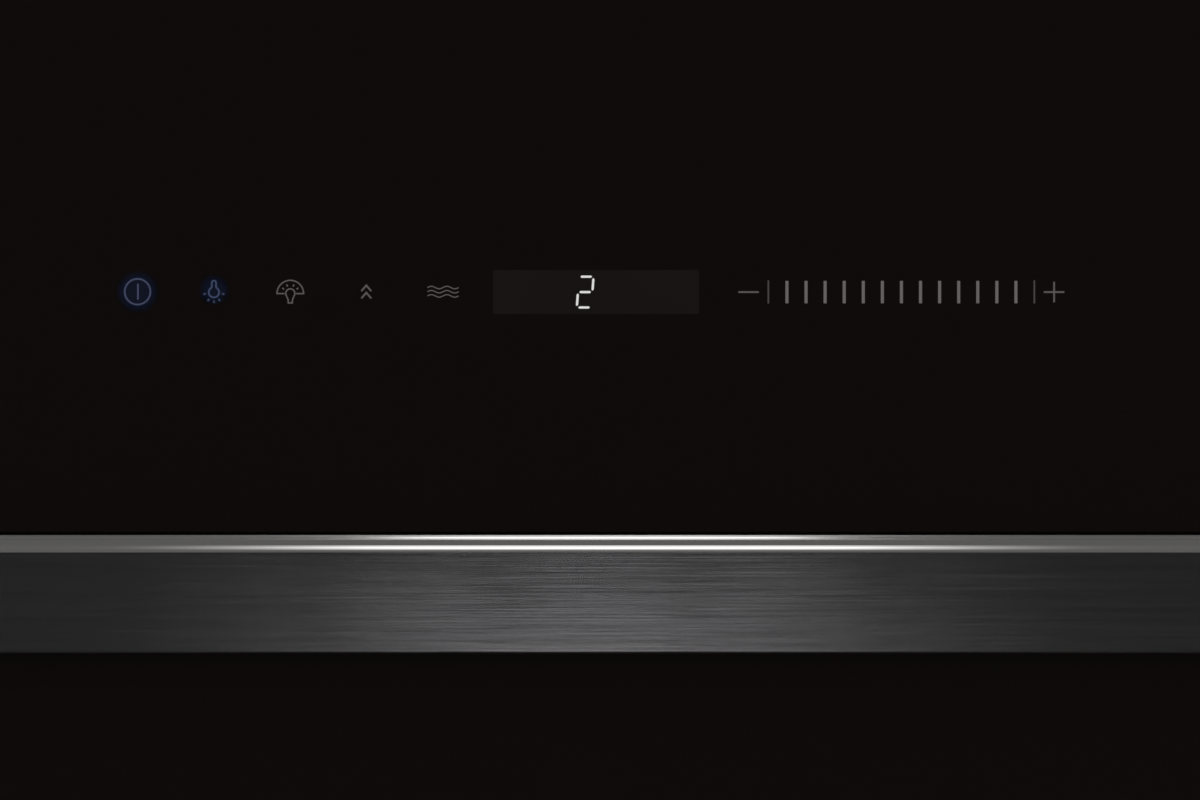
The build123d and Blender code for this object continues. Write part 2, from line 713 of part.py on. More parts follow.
def filter_pieces(side, centre_x):
    """Make the pieces of one grease filter and its spring catches."""
    with BuildPart() as frame:
        with BuildSketch(FACE.offset(filter_back)):
            with Locations((centre_x, FILTER_MID)):
                Rectangle(FILTER_W, FILTER_H)
        extrude(amount=FILTER_T)
        with BuildSketch(FACE.offset(filter_back + FILTER_SKIN)):
            with Locations((centre_x, FILTER_MID)):
                Rectangle(FILTER_W - 2 * FILTER_SKIN, FILTER_H - 2 * FILTER_SKIN)
        extrude(amount=FILTER_T - 2 * FILTER_SKIN, mode=Mode.SUBTRACT)
        with BuildSketch(FACE.offset(filter_back)):
            with Locations((centre_x, FILTER_MID)):
                Rectangle(FILTER_W - 2 * FILTER_RIM, FILTER_H - 2 * FILTER_RIM)
        extrude(amount=FILTER_T, mode=Mode.SUBTRACT)
    keep(frame, f"filter_frame_{side}")

    with BuildPart() as mesh:
        with BuildSketch(FACE.offset(filter_front - FILTER_SKIN - MESH_T)):
            with Locations((centre_x, FILTER_MID)):
                Rectangle(mesh_w, mesh_h)
                with GridLocations(cell_x, cell_y, MESH_COLS, MESH_ROWS):
                    Rectangle(cell_x - MESH_BAR, cell_y - MESH_BAR, mode=Mode.SUBTRACT)
        extrude(amount=MESH_T)
    keep(mesh, f"filter_mesh_{side}")

    with BuildPart() as core:
        with BuildSketch(FACE.offset(filter_back + FILTER_SKIN + MESH_T)):
            with Locations((centre_x, FILTER_MID)):
                Rectangle(mesh_w, mesh_h)
        extrude(amount=core_t)
    keep(core, f"filter_core_{side}")

    handle_run = FILTER_LOW + FILTER_H - HANDLE_H / 2
    with BuildPart() as handle:
        with BuildSketch(FACE.offset(filter_front)):
            with Locations((centre_x, handle_run)):
                Rectangle(HANDLE_W, HANDLE_H - 2 * SHEET)
        extrude(amount=HANDLE_PROUD)
        with BuildSketch(FACE.offset(filter_front)):
            with Locations((centre_x, handle_run - HANDLE_T)):
                Rectangle(HANDLE_W - 2 * HANDLE_T, HANDLE_H - 2 * SHEET)
        extrude(amount=HANDLE_PROUD - HANDLE_T, mode=Mode.SUBTRACT)
    keep(handle, f"filter_handle_{side}")

    # Leaf springs on the tray's upper wall, whose nose hooks in front of the filter
    leaf_back = filter_back + CATCH_CLEAR
    nose_out = filter_front + CATCH_CLEAR
    nose_top = nose_out + CATCH_NOSE_RISE
    nose_tip = (nose_out + nose_top) / 2 - CATCH_T
    leaf_front = nose_out + CATCH_LEAF_ABOVE
    with BuildPart() as catches:
        for catch_x in (centre_x - CATCH_X, centre_x + CATCH_X):
            catch_plane = Plane(
                origin=FACE.origin + Vector(catch_x - CATCH_W / 2, 0, 0), x_dir=UP, z_dir=(1, 0, 0)
            )
            with BuildSketch(catch_plane):
                with BuildLine():
                    Polyline(
                        (catch_low, leaf_front),
                        (catch_low, leaf_back),
                        (catch_low - CATCH_T, leaf_back),
                        (catch_low - CATCH_T, nose_out - CATCH_T),
                        (catch_low - CATCH_NOSE, nose_tip),
                        (catch_low - CATCH_T, nose_top),
                        (catch_low - CATCH_T, leaf_front),
                        close=True,
                    )
                make_face()
                with BuildLine():
                    Polyline(
                        (catch_low, nose_out + CATCH_T),
                        (catch_low, nose_top - 2 * CATCH_T),
                        (catch_low - CATCH_NOSE + 2 * CATCH_T, nose_tip),
                        close=True,
                    )
                make_face(mode=Mode.SUBTRACT)
            extrude(amount=CATCH_W)
    keep(catches, f"filter_catches_{side}")


filter_pieces("left", -FILTER_X)
filter_pieces("right", FILTER_X)

# Blower scroll: three quarter arcs of growing radius, then a neck that widens up to the outlet

centre_shift = SCROLL_STEP / 2
arc_a = (FAN_Y - centre_shift, FAN_Z - centre_shift)
arc_b = (FAN_Y + centre_shift, FAN_Z - centre_shift)
arc_c = (FAN_Y + centre_shift, FAN_Z + centre_shift)
radius_a = SCROLL_START_R
radius_b = radius_a + SCROLL_STEP
radius_c = radius_b + SCROLL_STEP
scroll_top = arc_a[1] + radius_a
neck_back = arc_c[0] + radius_c
neck_front = neck_back - SCROLL_NECK_Y


def scroll_volume(wall):
    """Make the scroll and its neck, grown by a wall thickness."""
    with BuildPart() as volume:
        with BuildSketch(Plane.YZ) as scroll_outline:
            with BuildLine():
                CenterArc(arc_a, radius_a, 90, 90)
                CenterArc(arc_b, radius_b, 180, 90)
                CenterArc(arc_c, radius_c, 270, 90)
                Polyline(
                    (neck_back, arc_c[1]),
                    (neck_back, SCROLL_NECK_TOP),
                    (OUTLET_Y + COLLAR_INNER_R, inner_top),
                    (OUTLET_Y - COLLAR_INNER_R, inner_top),
                    (neck_front, SCROLL_NECK_TOP),
                    (neck_front, scroll_top + TONGUE_R),
                )
                RadiusArc(
                    (neck_front, scroll_top + TONGUE_R), (neck_front - TONGUE_R, scroll_top), TONGUE_R
                )
                Line((neck_front - TONGUE_R, scroll_top), (arc_a[0], scroll_top))
            make_face()
            if wall:
                offset(amount=wall)
        extrude(amount=SCROLL_HALF + wall, both=True)
        split(bisect_by=Plane.XY.offset(inner_top), keep=Keep.BOTTOM)
    return volume.part


scroll_side = SCROLL_HALF + SCROLL_WALL
with BuildPart() as blower_housing:
    add(scroll_volume(SCROLL_WALL))
    # The neck ends in a square flange under the top panel
    with BuildSketch(Plane.XY.offset(inner_top)):
        with Locations((0, OUTLET_Y)):
            Rectangle(2 * COLLAR_FLANGE_HALF, 2 * COLLAR_FLANGE_HALF)
    extrude(amount=-SCROLL_WALL)
    add(scroll_volume(0), mode=Mode.SUBTRACT)
    # Round inlets in both sides
    with BuildSketch(Plane.YZ):
        with Locations((FAN_Y, FAN_Z)):
            Circle(INLET_R)
    extrude(amount=scroll_side, both=True, mode=Mode.SUBTRACT)
    # Three feet for the motor bracket on the right side
    with BuildSketch(Plane.YZ.offset(scroll_side)):
        with Locations((FAN_Y, FAN_Z)):
            with PolarLocations(BRACKET_FIX_R, 3, 30):
                Rectangle(2 * BUSH_HALF, 2 * BUSH_HALF)
    extrude(amount=BRACKET_FOOT_H)

with BuildPart() as blower_housing_right:
    add(blower_housing.part)
    split(bisect_by=Plane.YZ, keep=Keep.TOP)
keep(blower_housing_right, "blower_housing_right")

with BuildPart() as blower_housing_left:
    add(blower_housing.part)
    split(bisect_by=Plane.YZ, keep=Keep.BOTTOM)
keep(blower_housing_left, "blower_housing_left")

# Impeller: blades curved in three flats between two rings, on a centre disc and hub

fan_inner_r = FAN_R - FAN_BLADE_DEPTH
blade_centre = (fan_inner_r + BLADE_SHIFT, BLADE_ARC_R)
with BuildSketch(Plane.YZ) as blade:
    with BuildLine():
        back_arc = CenterArc(blade_centre, BLADE_ARC_R, BLADE_FROM, BLADE_SWEEP, mode=Mode.PRIVATE)
        hollow_r = BLADE_ARC_R - FAN_BLADE_T
        hollow_arc = CenterArc(blade_centre, hollow_r, BLADE_FROM, BLADE_SWEEP, mode=Mode.PRIVATE)
        steps = [i / BLADE_FLATS for i in range(BLADE_FLATS + 1)]
        Polyline(*[back_arc @ t for t in steps], *[hollow_arc @ (1 - t) for t in steps], close=True)
    make_face()
with BuildPart() as impeller:
    with BuildSketch(Plane.YZ.offset(-FAN_HALF)):
        with Locations((FAN_Y, FAN_Z)):
            with PolarLocations(0, FAN_BLADES):
                add(blade.sketch_local)
    extrude(amount=2 * FAN_HALF)
    for ring_x in (-FAN_HALF - FAN_RING_T, FAN_HALF):
        with BuildSketch(Plane.YZ.offset(ring_x)):
            with Locations((FAN_Y, FAN_Z)):
                Circle(FAN_R)
                Circle(fan_inner_r, mode=Mode.SUBTRACT)
        extrude(amount=FAN_RING_T)
    with BuildSketch(Plane.YZ):
        with Locations((FAN_Y, FAN_Z)):
            RegularPolygon(fan_inner_r + FAN_DISC_LAP, FAN_BLADES, rotation=DISC_TURN)
    extrude(amount=FAN_DISC_T / 2, both=True)
    with BuildSketch(Plane.YZ):
        with Locations((FAN_Y, FAN_Z)):
            Circle(FAN_HUB_R)
    extrude(amount=FAN_HUB_HALF, both=True)
    with BuildSketch(Plane.YZ):
        with Locations((FAN_Y, FAN_Z)):
            Circle(SHAFT_R)
    extrude(amount=FAN_HUB_HALF, both=True, mode=Mode.SUBTRACT)
keep(impeller, "impeller")

bracket_x = scroll_side + BRACKET_FOOT_H + BUSH_T
motor_start = FAN_HUB_HALF + MOTOR_GAP
with BuildPart() as motor_body:
    with BuildSketch(Plane.YZ.offset(motor_start)):
        with Locations((FAN_Y, FAN_Z)):
            Circle(MOTOR_R)
    extrude(amount=bracket_x - motor_start)
    with BuildSketch(Plane.YZ.offset(motor_start)):
        with Locations((FAN_Y, FAN_Z)):
            Circle(SHAFT_R + SHAFT_FIT)
    extrude(amount=bracket_x - motor_start - BRACKET_T, mode=Mode.SUBTRACT)
keep(motor_body, "motor_body")

with BuildPart() as motor_shaft:
    with BuildSketch(Plane.YZ.offset(-FAN_HUB_HALF - SHEET)):
        with Locations((FAN_Y, FAN_Z)):
            Circle(SHAFT_R)
    extrude(amount=FAN_HUB_HALF + bracket_x - BRACKET_T - SEAT_GAP)
keep(motor_shaft, "motor_shaft")

with BuildPart() as motor_bracket:
    with BuildSketch(Plane.YZ.offset(bracket_x)):
        with Locations((FAN_Y, FAN_Z)):
            RegularPolygon(BRACKET_HUB_R, 6)
            with PolarLocations((BRACKET_FIX_R + BUSH_HALF) / 2, 3, 30):
                Rectangle(BRACKET_FIX_R + BUSH_HALF, 2 * BUSH_HALF)
    extrude(amount=BRACKET_T)
keep(motor_bracket, "motor_bracket")

with BuildPart() as motor_bushes:
    with BuildSketch(Plane.YZ.offset(bracket_x - BUSH_T)):
        with Locations((FAN_Y, FAN_Z)):
            with PolarLocations(BRACKET_FIX_R, 3, 30):
                Rectangle(2 * BUSH_HALF, 2 * BUSH_HALF)
    extrude(amount=BUSH_T)
keep(motor_bushes, "motor_bushes")

# Outlet collar with two stops, and two damper flaps on one pin

collar_top = BODY_TOP + COLLAR_H
damper_z = BODY_TOP + DAMPER_RISE
with BuildPart() as outlet_collar:
    with BuildSketch(Plane.XY.offset(BODY_TOP)):
        with Locations((0, OUTLET_Y)):
            Rectangle(2 * COLLAR_FLANGE_HALF, 2 * COLLAR_FLANGE_HALF)
    extrude(amount=COLLAR_FLANGE_T)
    with BuildSketch(Plane.XY.offset(BODY_TOP)):
        with Locations((0, OUTLET_Y)):
            Circle(COLLAR_R)
    extrude(amount=COLLAR_H)
    with BuildSketch(Plane.XY.offset(BODY_TOP)):
        with Locations((0, OUTLET_Y)):
            Circle(COLLAR_INNER_R)
    extrude(amount=COLLAR_H, mode=Mode.SUBTRACT)
    # Two stops that the closed dampers rest on
    with BuildSketch(Plane.XY.offset(damper_z - DAMPER_T - SEAT_GAP)):
        with Locations((0, OUTLET_Y)):
            with PolarLocations(COLLAR_INNER_R - DAMPER_STOP_L / 2 + COLLAR_WALL / 2, 2, 90):
                Rectangle(DAMPER_STOP_L, DAMPER_STOP_W)
    extrude(amount=-DAMPER_STOP_W)
    with BuildSketch(Plane.YZ):
        with Locations((OUTLET_Y, damper_z)):
            Circle(DAMPER_PIN_R + HINGE_FIXED_FIT)
    extrude(amount=COLLAR_R, both=True, mode=Mode.SUBTRACT)
keep(outlet_collar, "outlet_collar")

with BuildPart() as damper_pin:
    with BuildSketch(Plane.YZ):
        with Locations((OUTLET_Y, damper_z)):
            Circle(DAMPER_PIN_R)
    extrude(amount=COLLAR_R, both=True)
keep(damper_pin, "damper_pin")


def damper(side, knuckle_x):
    """Make one half-round damper flap; side is -1 towards the front, 1 towards the wall."""
    damper_r = COLLAR_INNER_R - DAMPER_EDGE_GAP
    with BuildPart() as flap:
        with BuildSketch(Plane.XY.offset(damper_z)):
            with Locations((0, OUTLET_Y)):
                Circle(damper_r)
            with Locations((0, OUTLET_Y - side * (damper_r - DAMPER_SPLIT))):
                Rectangle(2 * damper_r, 2 * damper_r, mode=Mode.SUBTRACT)
        extrude(amount=-DAMPER_T)
        with BuildSketch(Plane.YZ.offset(knuckle_x)):
            with Locations((OUTLET_Y + side * DAMPER_SPLIT / 2, damper_z - DAMPER_T / 2)):
                Rectangle(DAMPER_SPLIT, DAMPER_T)
            with Locations((OUTLET_Y, damper_z)):
                RegularPolygon(DAMPER_KNUCKLE_R, 8)
                Circle(DAMPER_PIN_R + DAMPER_FIT, mode=Mode.SUBTRACT)
        extrude(amount=DAMPER_KNUCKLE_L)
    return flap


damper_front = damper(-1, -DAMPER_KNUCKLE_X - DAMPER_KNUCKLE_L)
keep(damper_front, "damper_front")
damper_back = damper(1, DAMPER_KNUCKLE_X)
keep(damper_back, "damper_back")

# Chimney covers: two folded U sheets, the upper one slides inside the lower one

upper_w = CHIMNEY_W - 2 * (SHEET + CHIMNEY_GAP)
upper_front = -CHIMNEY_D + SHEET + CHIMNEY_GAP
upper_back = -SHEET - CHIMNEY_GAP / 2


def cover_outline(width, front, back):
    """Draw the U of a chimney cover with its return flanges at the wall."""
    depth = back - front
    with Locations((0, (back + front) / 2)):
        Rectangle(width, depth)
        Rectangle(width - 2 * SHEET, depth - 2 * SHEET, mode=Mode.SUBTRACT)
    with Locations((0, back)):
        Rectangle(width - 2 * CHIMNEY_FLANGE, 4 * SHEET, mode=Mode.SUBTRACT)


with BuildPart() as chimney_lower:
    with BuildSketch(Plane.XY.offset(BODY_TOP)):
        cover_outline(CHIMNEY_W, -CHIMNEY_D, 0)
    extrude(amount=CHIMNEY_LOWER_H)
    front_bends = chimney_lower.edges().filter_by(Axis.Z).group_by(Axis.Y)
    fillet(front_bends[0], CHIMNEY_BEND_R)
    fillet(front_bends[1], CHIMNEY_BEND_R - SHEET)
    # Turned-in feet that are screwed to the top panel
    foot_x = CHIMNEY_W / 2 - SHEET - CHIMNEY_FOOT / 2
    foot_spots = [(x, y) for x in (-foot_x, foot_x) for y in CHIMNEY_FOOT_YS]
    with BuildSketch(Plane.XY.offset(BODY_TOP)):
        with Locations(*foot_spots):
            Rectangle(CHIMNEY_FOOT, 2 * CHIMNEY_FOOT)
    extrude(amount=SHEET)
keep(chimney_lower, "chimney_lower")

upper_bottom = BODY_TOP + CHIMNEY_LOW_CLEAR + CHIMNEY_EXTENDED
upper_top = upper_bottom + CHIMNEY_UPPER_H
bracket_low = upper_top - WALL_BRACKET_DROP - WALL_BRACKET_H
bracket_mid = bracket_low + WALL_BRACKET_H / 2
with BuildPart() as chimney_upper:
    with BuildSketch(Plane.XY.offset(upper_bottom)):
        cover_outline(upper_w, upper_front, upper_back)
    extrude(amount=CHIMNEY_UPPER_H)
    front_bends = chimney_upper.edges().filter_by(Axis.Z).group_by(Axis.Y)
    fillet(front_bends[0], CHIMNEY_BEND_R)
    fillet(front_bends[1], CHIMNEY_BEND_R - SHEET)
keep(chimney_upper, "chimney_upper")

bracket_back = upper_back - SHEET - SEAT_GAP
bracket_half = upper_w / 2 - SHEET - SEAT_GAP
with BuildPart() as chimney_bracket:
    with BuildSketch(Plane.XY.offset(bracket_low)):
        with Locations((0, bracket_back - WALL_BRACKET_T / 2)):
            Rectangle(2 * bracket_half, WALL_BRACKET_T)
        for end in (-1, 1):
            with Locations((end * (bracket_half - WALL_BRACKET_T / 2), bracket_back - WALL_BRACKET_TAB / 2)):
                Rectangle(WALL_BRACKET_T, WALL_BRACKET_TAB)
    extrude(amount=WALL_BRACKET_H)
    with BuildSketch(Plane.XZ):
        with Locations((0, bracket_mid)):
            with GridLocations(WALL_BRACKET_HOLE_DX, 0, 2, 1):
                Rectangle(2 * WALL_BRACKET_BOSS_HALF, 2 * WALL_BRACKET_BOSS_HALF)
    extrude(amount=-bracket_back)
    with BuildSketch(Plane.XZ):
        with Locations((0, bracket_mid)):
            with GridLocations(WALL_BRACKET_HOLE_DX, 0, 2, 1):
                Circle(WALL_BRACKET_HOLE_R)
    extrude(amount=-bracket_back + WALL_BRACKET_T, mode=Mode.SUBTRACT)
keep(chimney_bracket, "chimney_bracket")

# Touch controls: a tray through the upper front sheet, with board, light guide and display

with BuildPart() as control_housing:
    with BuildSketch(FACE.offset(UPPER_PLANE - SHEET)):
        with Locations((0, CONTROL_RUN)):
            Rectangle(CONTROL_W + 2 * CONTROL_FLANGE, CONTROL_H + 2 * CONTROL_FLANGE)
    extrude(amount=-CONTROL_WALL)
    with BuildSketch(FACE.offset(UPPER_PLANE - SHEET)):
        with Locations((0, CONTROL_RUN)):
            Rectangle(CONTROL_W, CONTROL_H)
    extrude(amount=-CONTROL_DEPTH)
    with BuildSketch(FACE.offset(UPPER_PLANE - SHEET)):
        with Locations((0, CONTROL_RUN)):
            Rectangle(CONTROL_W - 2 * CONTROL_WALL, CONTROL_H - 2 * CONTROL_WALL)
    extrude(amount=-(CONTROL_DEPTH - CONTROL_WALL), mode=Mode.SUBTRACT)
    # Bosses under the board
    boss_top = -GLASS - SEAT_GAP - GUIDE_T - BOARD_T
    with BuildSketch(FACE.offset(boss_top)):
        with Locations((0, CONTROL_RUN)):
            with GridLocations(BOSS_DX, BOSS_DY, 2, 2):
                Rectangle(BOSS_W, BOSS_W)
    extrude(amount=-(CONTROL_DEPTH - CONTROL_WALL + SHEET - UPPER_PLANE + boss_top))
keep(control_housing, "control_housing")

inner_w = CONTROL_W - 2 * CONTROL_WALL - 2 * SEAT_GAP
inner_h = CONTROL_H - 2 * CONTROL_WALL - 2 * SEAT_GAP
with BuildPart() as control_board:
    with BuildSketch(FACE.offset(boss_top)):
        with Locations((0, CONTROL_RUN)):
            Rectangle(inner_w, inner_h)
    extrude(amount=BOARD_T)
    # Connector and driver chips on the back
    with BuildSketch(FACE.offset(boss_top)):
        with Locations(*[(chip_x, CONTROL_RUN) for chip_x in CHIP_XS]):
            Rectangle(CHIP_W, CHIP_H)
    extrude(amount=-CHIP_T)
keep(control_board, "control_board")

with BuildPart() as light_guide:
    with BuildSketch(FACE.offset(boss_top + BOARD_T)):
        with Locations((0, CONTROL_RUN)):
            Rectangle(inner_w, inner_h)
        with Locations((DISPLAY_X, CONTROL_RUN)):
            Rectangle(DISPLAY_W + 2 * SEAT_GAP, DISPLAY_H + 2 * SEAT_GAP, mode=Mode.SUBTRACT)
    extrude(amount=GUIDE_T)
keep(light_guide, "light_guide")

with BuildPart() as display_module:
    with BuildSketch(FACE.offset(boss_top + BOARD_T)):
        with Locations((DISPLAY_X, CONTROL_RUN)):
            Rectangle(DISPLAY_W, DISPLAY_H)
    extrude(amount=GUIDE_T)
keep(display_module, "display_module")

# Lamps: a bezel through the bottom panel, a frosted lens in it and a can above

lens_w = LAMP_W - 2 * LAMP_SLEEVE - 2 * SEAT_GAP
lens_d = LAMP_D - 2 * LAMP_SLEEVE - 2 * SEAT_GAP
with BuildPart() as lamp_bezels:
    with BuildSketch(Plane.XY.offset(BODY_BOTTOM)):
        with Locations(*lamp_spots):
            Rectangle(LAMP_W + 2 * LAMP_RIM, LAMP_D + 2 * LAMP_RIM)
    extrude(amount=-LAMP_RIM_T)
    chamfer(lamp_bezels.faces().group_by(Axis.Z)[0].edges(), LAMP_RIM_T / 2)
    with BuildSketch(Plane.XY.offset(BODY_BOTTOM)):
        with Locations(*lamp_spots):
            Rectangle(LAMP_W - 2 * SEAT_GAP, LAMP_D - 2 * SEAT_GAP)
    extrude(amount=LAMP_LENS_T)
    with BuildSketch(Plane.XY.offset(BODY_BOTTOM - LAMP_RIM_T)):
        with Locations(*lamp_spots):
            Rectangle(LAMP_W - 2 * LAMP_SLEEVE, LAMP_D - 2 * LAMP_SLEEVE)
    extrude(amount=LAMP_RIM_T + LAMP_LENS_T, mode=Mode.SUBTRACT)
keep(lamp_bezels, "lamp_bezels")

with BuildPart() as lamp_lenses:
    with BuildSketch(Plane.XY.offset(BODY_BOTTOM - LAMP_RIM_T + SEAT_GAP)):
        with Locations(*lamp_spots):
            Rectangle(lens_w, lens_d)
    extrude(amount=LAMP_LENS_T + LAMP_RIM_T - SEAT_GAP)
keep(lamp_lenses, "lamp_lenses")

with BuildPart() as lamp_housings:
    with BuildSketch(Plane.XY.offset(BODY_BOTTOM + LAMP_LENS_T)):
        with Locations(*lamp_spots):
            Rectangle(LAMP_W, LAMP_D)
    extrude(amount=LAMP_CAN_H, taper=LAMP_TAPER)
keep(lamp_housings, "lamp_housings")

# Ambient light profile behind the glass overhang

with BuildPart() as ambient_channel:
    with BuildSketch(SECTION):
        with BuildLine():
            Polyline(
                (AMBIENT_LOW, -GLASS),
                (AMBIENT_LOW, -GLASS - AMBIENT_T),
                (AMBIENT_LOW + AMBIENT_H, -GLASS - AMBIENT_T),
                (AMBIENT_LOW + AMBIENT_H, -GLASS - AMBIENT_T + AMBIENT_WALL),
                (AMBIENT_LOW + AMBIENT_WALL, -GLASS - AMBIENT_T + AMBIENT_WALL),
                (AMBIENT_LOW + AMBIENT_WALL, -GLASS - AMBIENT_WALL),
                (AMBIENT_LOW + AMBIENT_H, -GLASS - AMBIENT_WALL),
                (AMBIENT_LOW + AMBIENT_H, -GLASS),
                close=True,
            )
        make_face()
    extrude(amount=AMBIENT_HALF, both=True)
keep(ambient_channel, "ambient_channel")

with BuildPart() as ambient_diffuser:
    with BuildSketch(SECTION):
        with Locations((AMBIENT_LOW + AMBIENT_H - AMBIENT_WALL, -GLASS - AMBIENT_T / 2)):
            Rectangle(2 * AMBIENT_WALL, AMBIENT_T - 2 * AMBIENT_WALL)
    extrude(amount=AMBIENT_HALF, both=True)
keep(ambient_diffuser, "ambient_diffuser")

# Mains box on the back panel, and the cable gland in the top panel

power_top = inner_top - POWER_DROP
power_mid_z = power_top - POWER_H / 2
with BuildPart() as power_box:
    with BuildSketch(Plane.XZ.offset(SHEET)):
        with Locations((POWER_X, power_mid_z)):
            Rectangle(POWER_W, POWER_H)
    extrude(amount=POWER_D)
    with BuildSketch(Plane.XZ.offset(SHEET + POWER_WALL)):
        with Locations((POWER_X, power_mid_z)):
            Rectangle(POWER_W - 2 * POWER_WALL, POWER_H - 2 * POWER_WALL)
    extrude(amount=POWER_D - POWER_WALL, mode=Mode.SUBTRACT)
keep(power_box, "power_box")

with BuildPart() as power_box_lid:
    with BuildSketch(Plane.XZ.offset(SHEET + POWER_D)):
        with Locations((POWER_X, power_mid_z)):
            Rectangle(POWER_W, POWER_H)
    extrude(amount=POWER_WALL)
keep(power_box_lid, "power_box_lid")

with BuildPart() as power_board:
    with BuildSketch(Plane.XZ.offset(SHEET + POWER_WALL)):
        with Locations((POWER_X, power_mid_z)):
            Rectangle(POWER_BOARD_W, POWER_BOARD_H)
    extrude(amount=BOARD_T)
    with BuildSketch(Plane.XZ.offset(SHEET + POWER_WALL + BOARD_T)):
        with Locations((POWER_X - COIL_X, power_mid_z)):
            Rectangle(COIL_W, COIL_H)
        with Locations((POWER_X + TERMINAL_X, power_mid_z)):
            Rectangle(TERMINAL_W, TERMINAL_H)
    extrude(amount=COIL_T)
keep(power_board, "power_board")

with BuildPart() as cable_gland:
    with BuildSketch(Plane.XY.offset(BODY_TOP)):
        with Locations((GLAND_X, GLAND_Y)):
            RegularPolygon(GLAND_HEAD_R, 6)
    extrude(amount=GLAND_HEAD_H)
    with BuildSketch(Plane.XY.offset(BODY_TOP)):
        with Locations((GLAND_X, GLAND_Y)):
            Circle(GLAND_R - GLAND_FIT)
    extrude(amount=-GLAND_HEAD_H)
    with BuildSketch(Plane.XY.offset(BODY_TOP - GLAND_HEAD_H)):
        with Locations((GLAND_X, GLAND_Y)):
            Circle(GLAND_BORE_R)
    extrude(amount=2 * GLAND_HEAD_H, mode=Mode.SUBTRACT)
keep(cable_gland, "cable_gland")
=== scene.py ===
"""Looks of an inclined wall range hood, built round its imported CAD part.

Lengths in the size fields are millimetres in the part's own frame: X along the wall, Y into the
wall, Z up. `run` climbs the glass from its lower edge and `out` leaves the glass. Only the lamps
and the camera's clipping are in metres, and noise scales are waves to the metre.
"""

import logging
import math
from collections.abc import Iterable, Sequence
from dataclasses import dataclass
from enum import Enum
from typing import Any

import bmesh
import bpy
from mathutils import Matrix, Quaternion, Vector


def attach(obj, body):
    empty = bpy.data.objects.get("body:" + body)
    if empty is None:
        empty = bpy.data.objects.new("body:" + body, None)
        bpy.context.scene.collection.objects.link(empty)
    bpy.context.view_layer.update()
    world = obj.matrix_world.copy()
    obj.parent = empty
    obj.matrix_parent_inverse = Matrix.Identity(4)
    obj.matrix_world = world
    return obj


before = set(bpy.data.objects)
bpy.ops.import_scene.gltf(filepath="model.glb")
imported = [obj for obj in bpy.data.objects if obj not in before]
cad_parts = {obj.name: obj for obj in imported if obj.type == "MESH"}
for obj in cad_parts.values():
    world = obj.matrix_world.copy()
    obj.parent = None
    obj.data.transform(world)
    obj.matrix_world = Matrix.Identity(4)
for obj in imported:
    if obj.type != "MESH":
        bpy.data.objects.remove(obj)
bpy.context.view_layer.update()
log = logging.getLogger("range_hood")

MM = 0.001
FULL_TURN = 360
ACROSS = Vector((1, 0, 0))
DEEP = Vector((0, 1, 0))
UP = Vector((0, 0, 1))
ORIGIN = Vector((0, 0, 0))

Point = tuple[float, float]
Pair = tuple[float, float]
Triple = tuple[float, float, float]
Loop = list[Point]
Spot = tuple[Vector, Vector]


@dataclass(frozen=True)
class Slope:
    """The inclined plane of the glass front."""

    low_y: float = -236.5
    low_z: float = -250.0
    tilt: float = 30.0

    @property
    def up(self) -> Vector:
        """Direction that climbs the glass."""
        return Vector((0, -math.sin(math.radians(self.tilt)), math.cos(math.radians(self.tilt))))

    @property
    def out(self) -> Vector:
        """Direction that leaves the glass."""
        return Vector((0, -math.cos(math.radians(self.tilt)), -math.sin(math.radians(self.tilt))))

    def place(self, x: float, run: float, out: float = 0.0) -> Vector:
        """Find a point on or near the glass.

        Args:
            x: Distance from the middle of the hood, in millimetres.
            run: Distance up the glass from its lower edge, in millimetres.
            out: Height above the glass, in millimetres.

        Returns:
            The point in the row frame, in metres.
        """
        return MM * (Vector((x, self.low_y, self.low_z)) + self.up * run + self.out * out)


SLOPE = Slope()
GLASS_FOOT = SLOPE.place(0, 0)
TRIM_MIDDLE = SLOPE.place(0, 329.0, 4.0)


def polar(centre: Point, radius: float, angle: float) -> Point:
    """Find a point round a centre.

    Args:
        centre: The centre.
        radius: The distance from it.
        angle: The angle from the first axis, in degrees.

    Returns:
        The point.
    """
    a = math.radians(angle)
    return (centre[0] + radius * math.cos(a), centre[1] + radius * math.sin(a))


def grey(value: float, tint: Triple = (1, 1, 1)) -> Triple:
    """Make a colour of one brightness with a slight tint."""
    return (value * tint[0], value * tint[1], value * tint[2])


def shift(colour: Triple, gain: float, lift: float = 0.0) -> Triple:
    """Make a colour brighter or darker.

    Args:
        colour: The colour.
        gain: What it is multiplied by.
        lift: What is then added.

    Returns:
        The new colour.
    """
    red, green, blue = (min(1.0, share * gain + lift) for share in colour)
    return (red, green, blue)


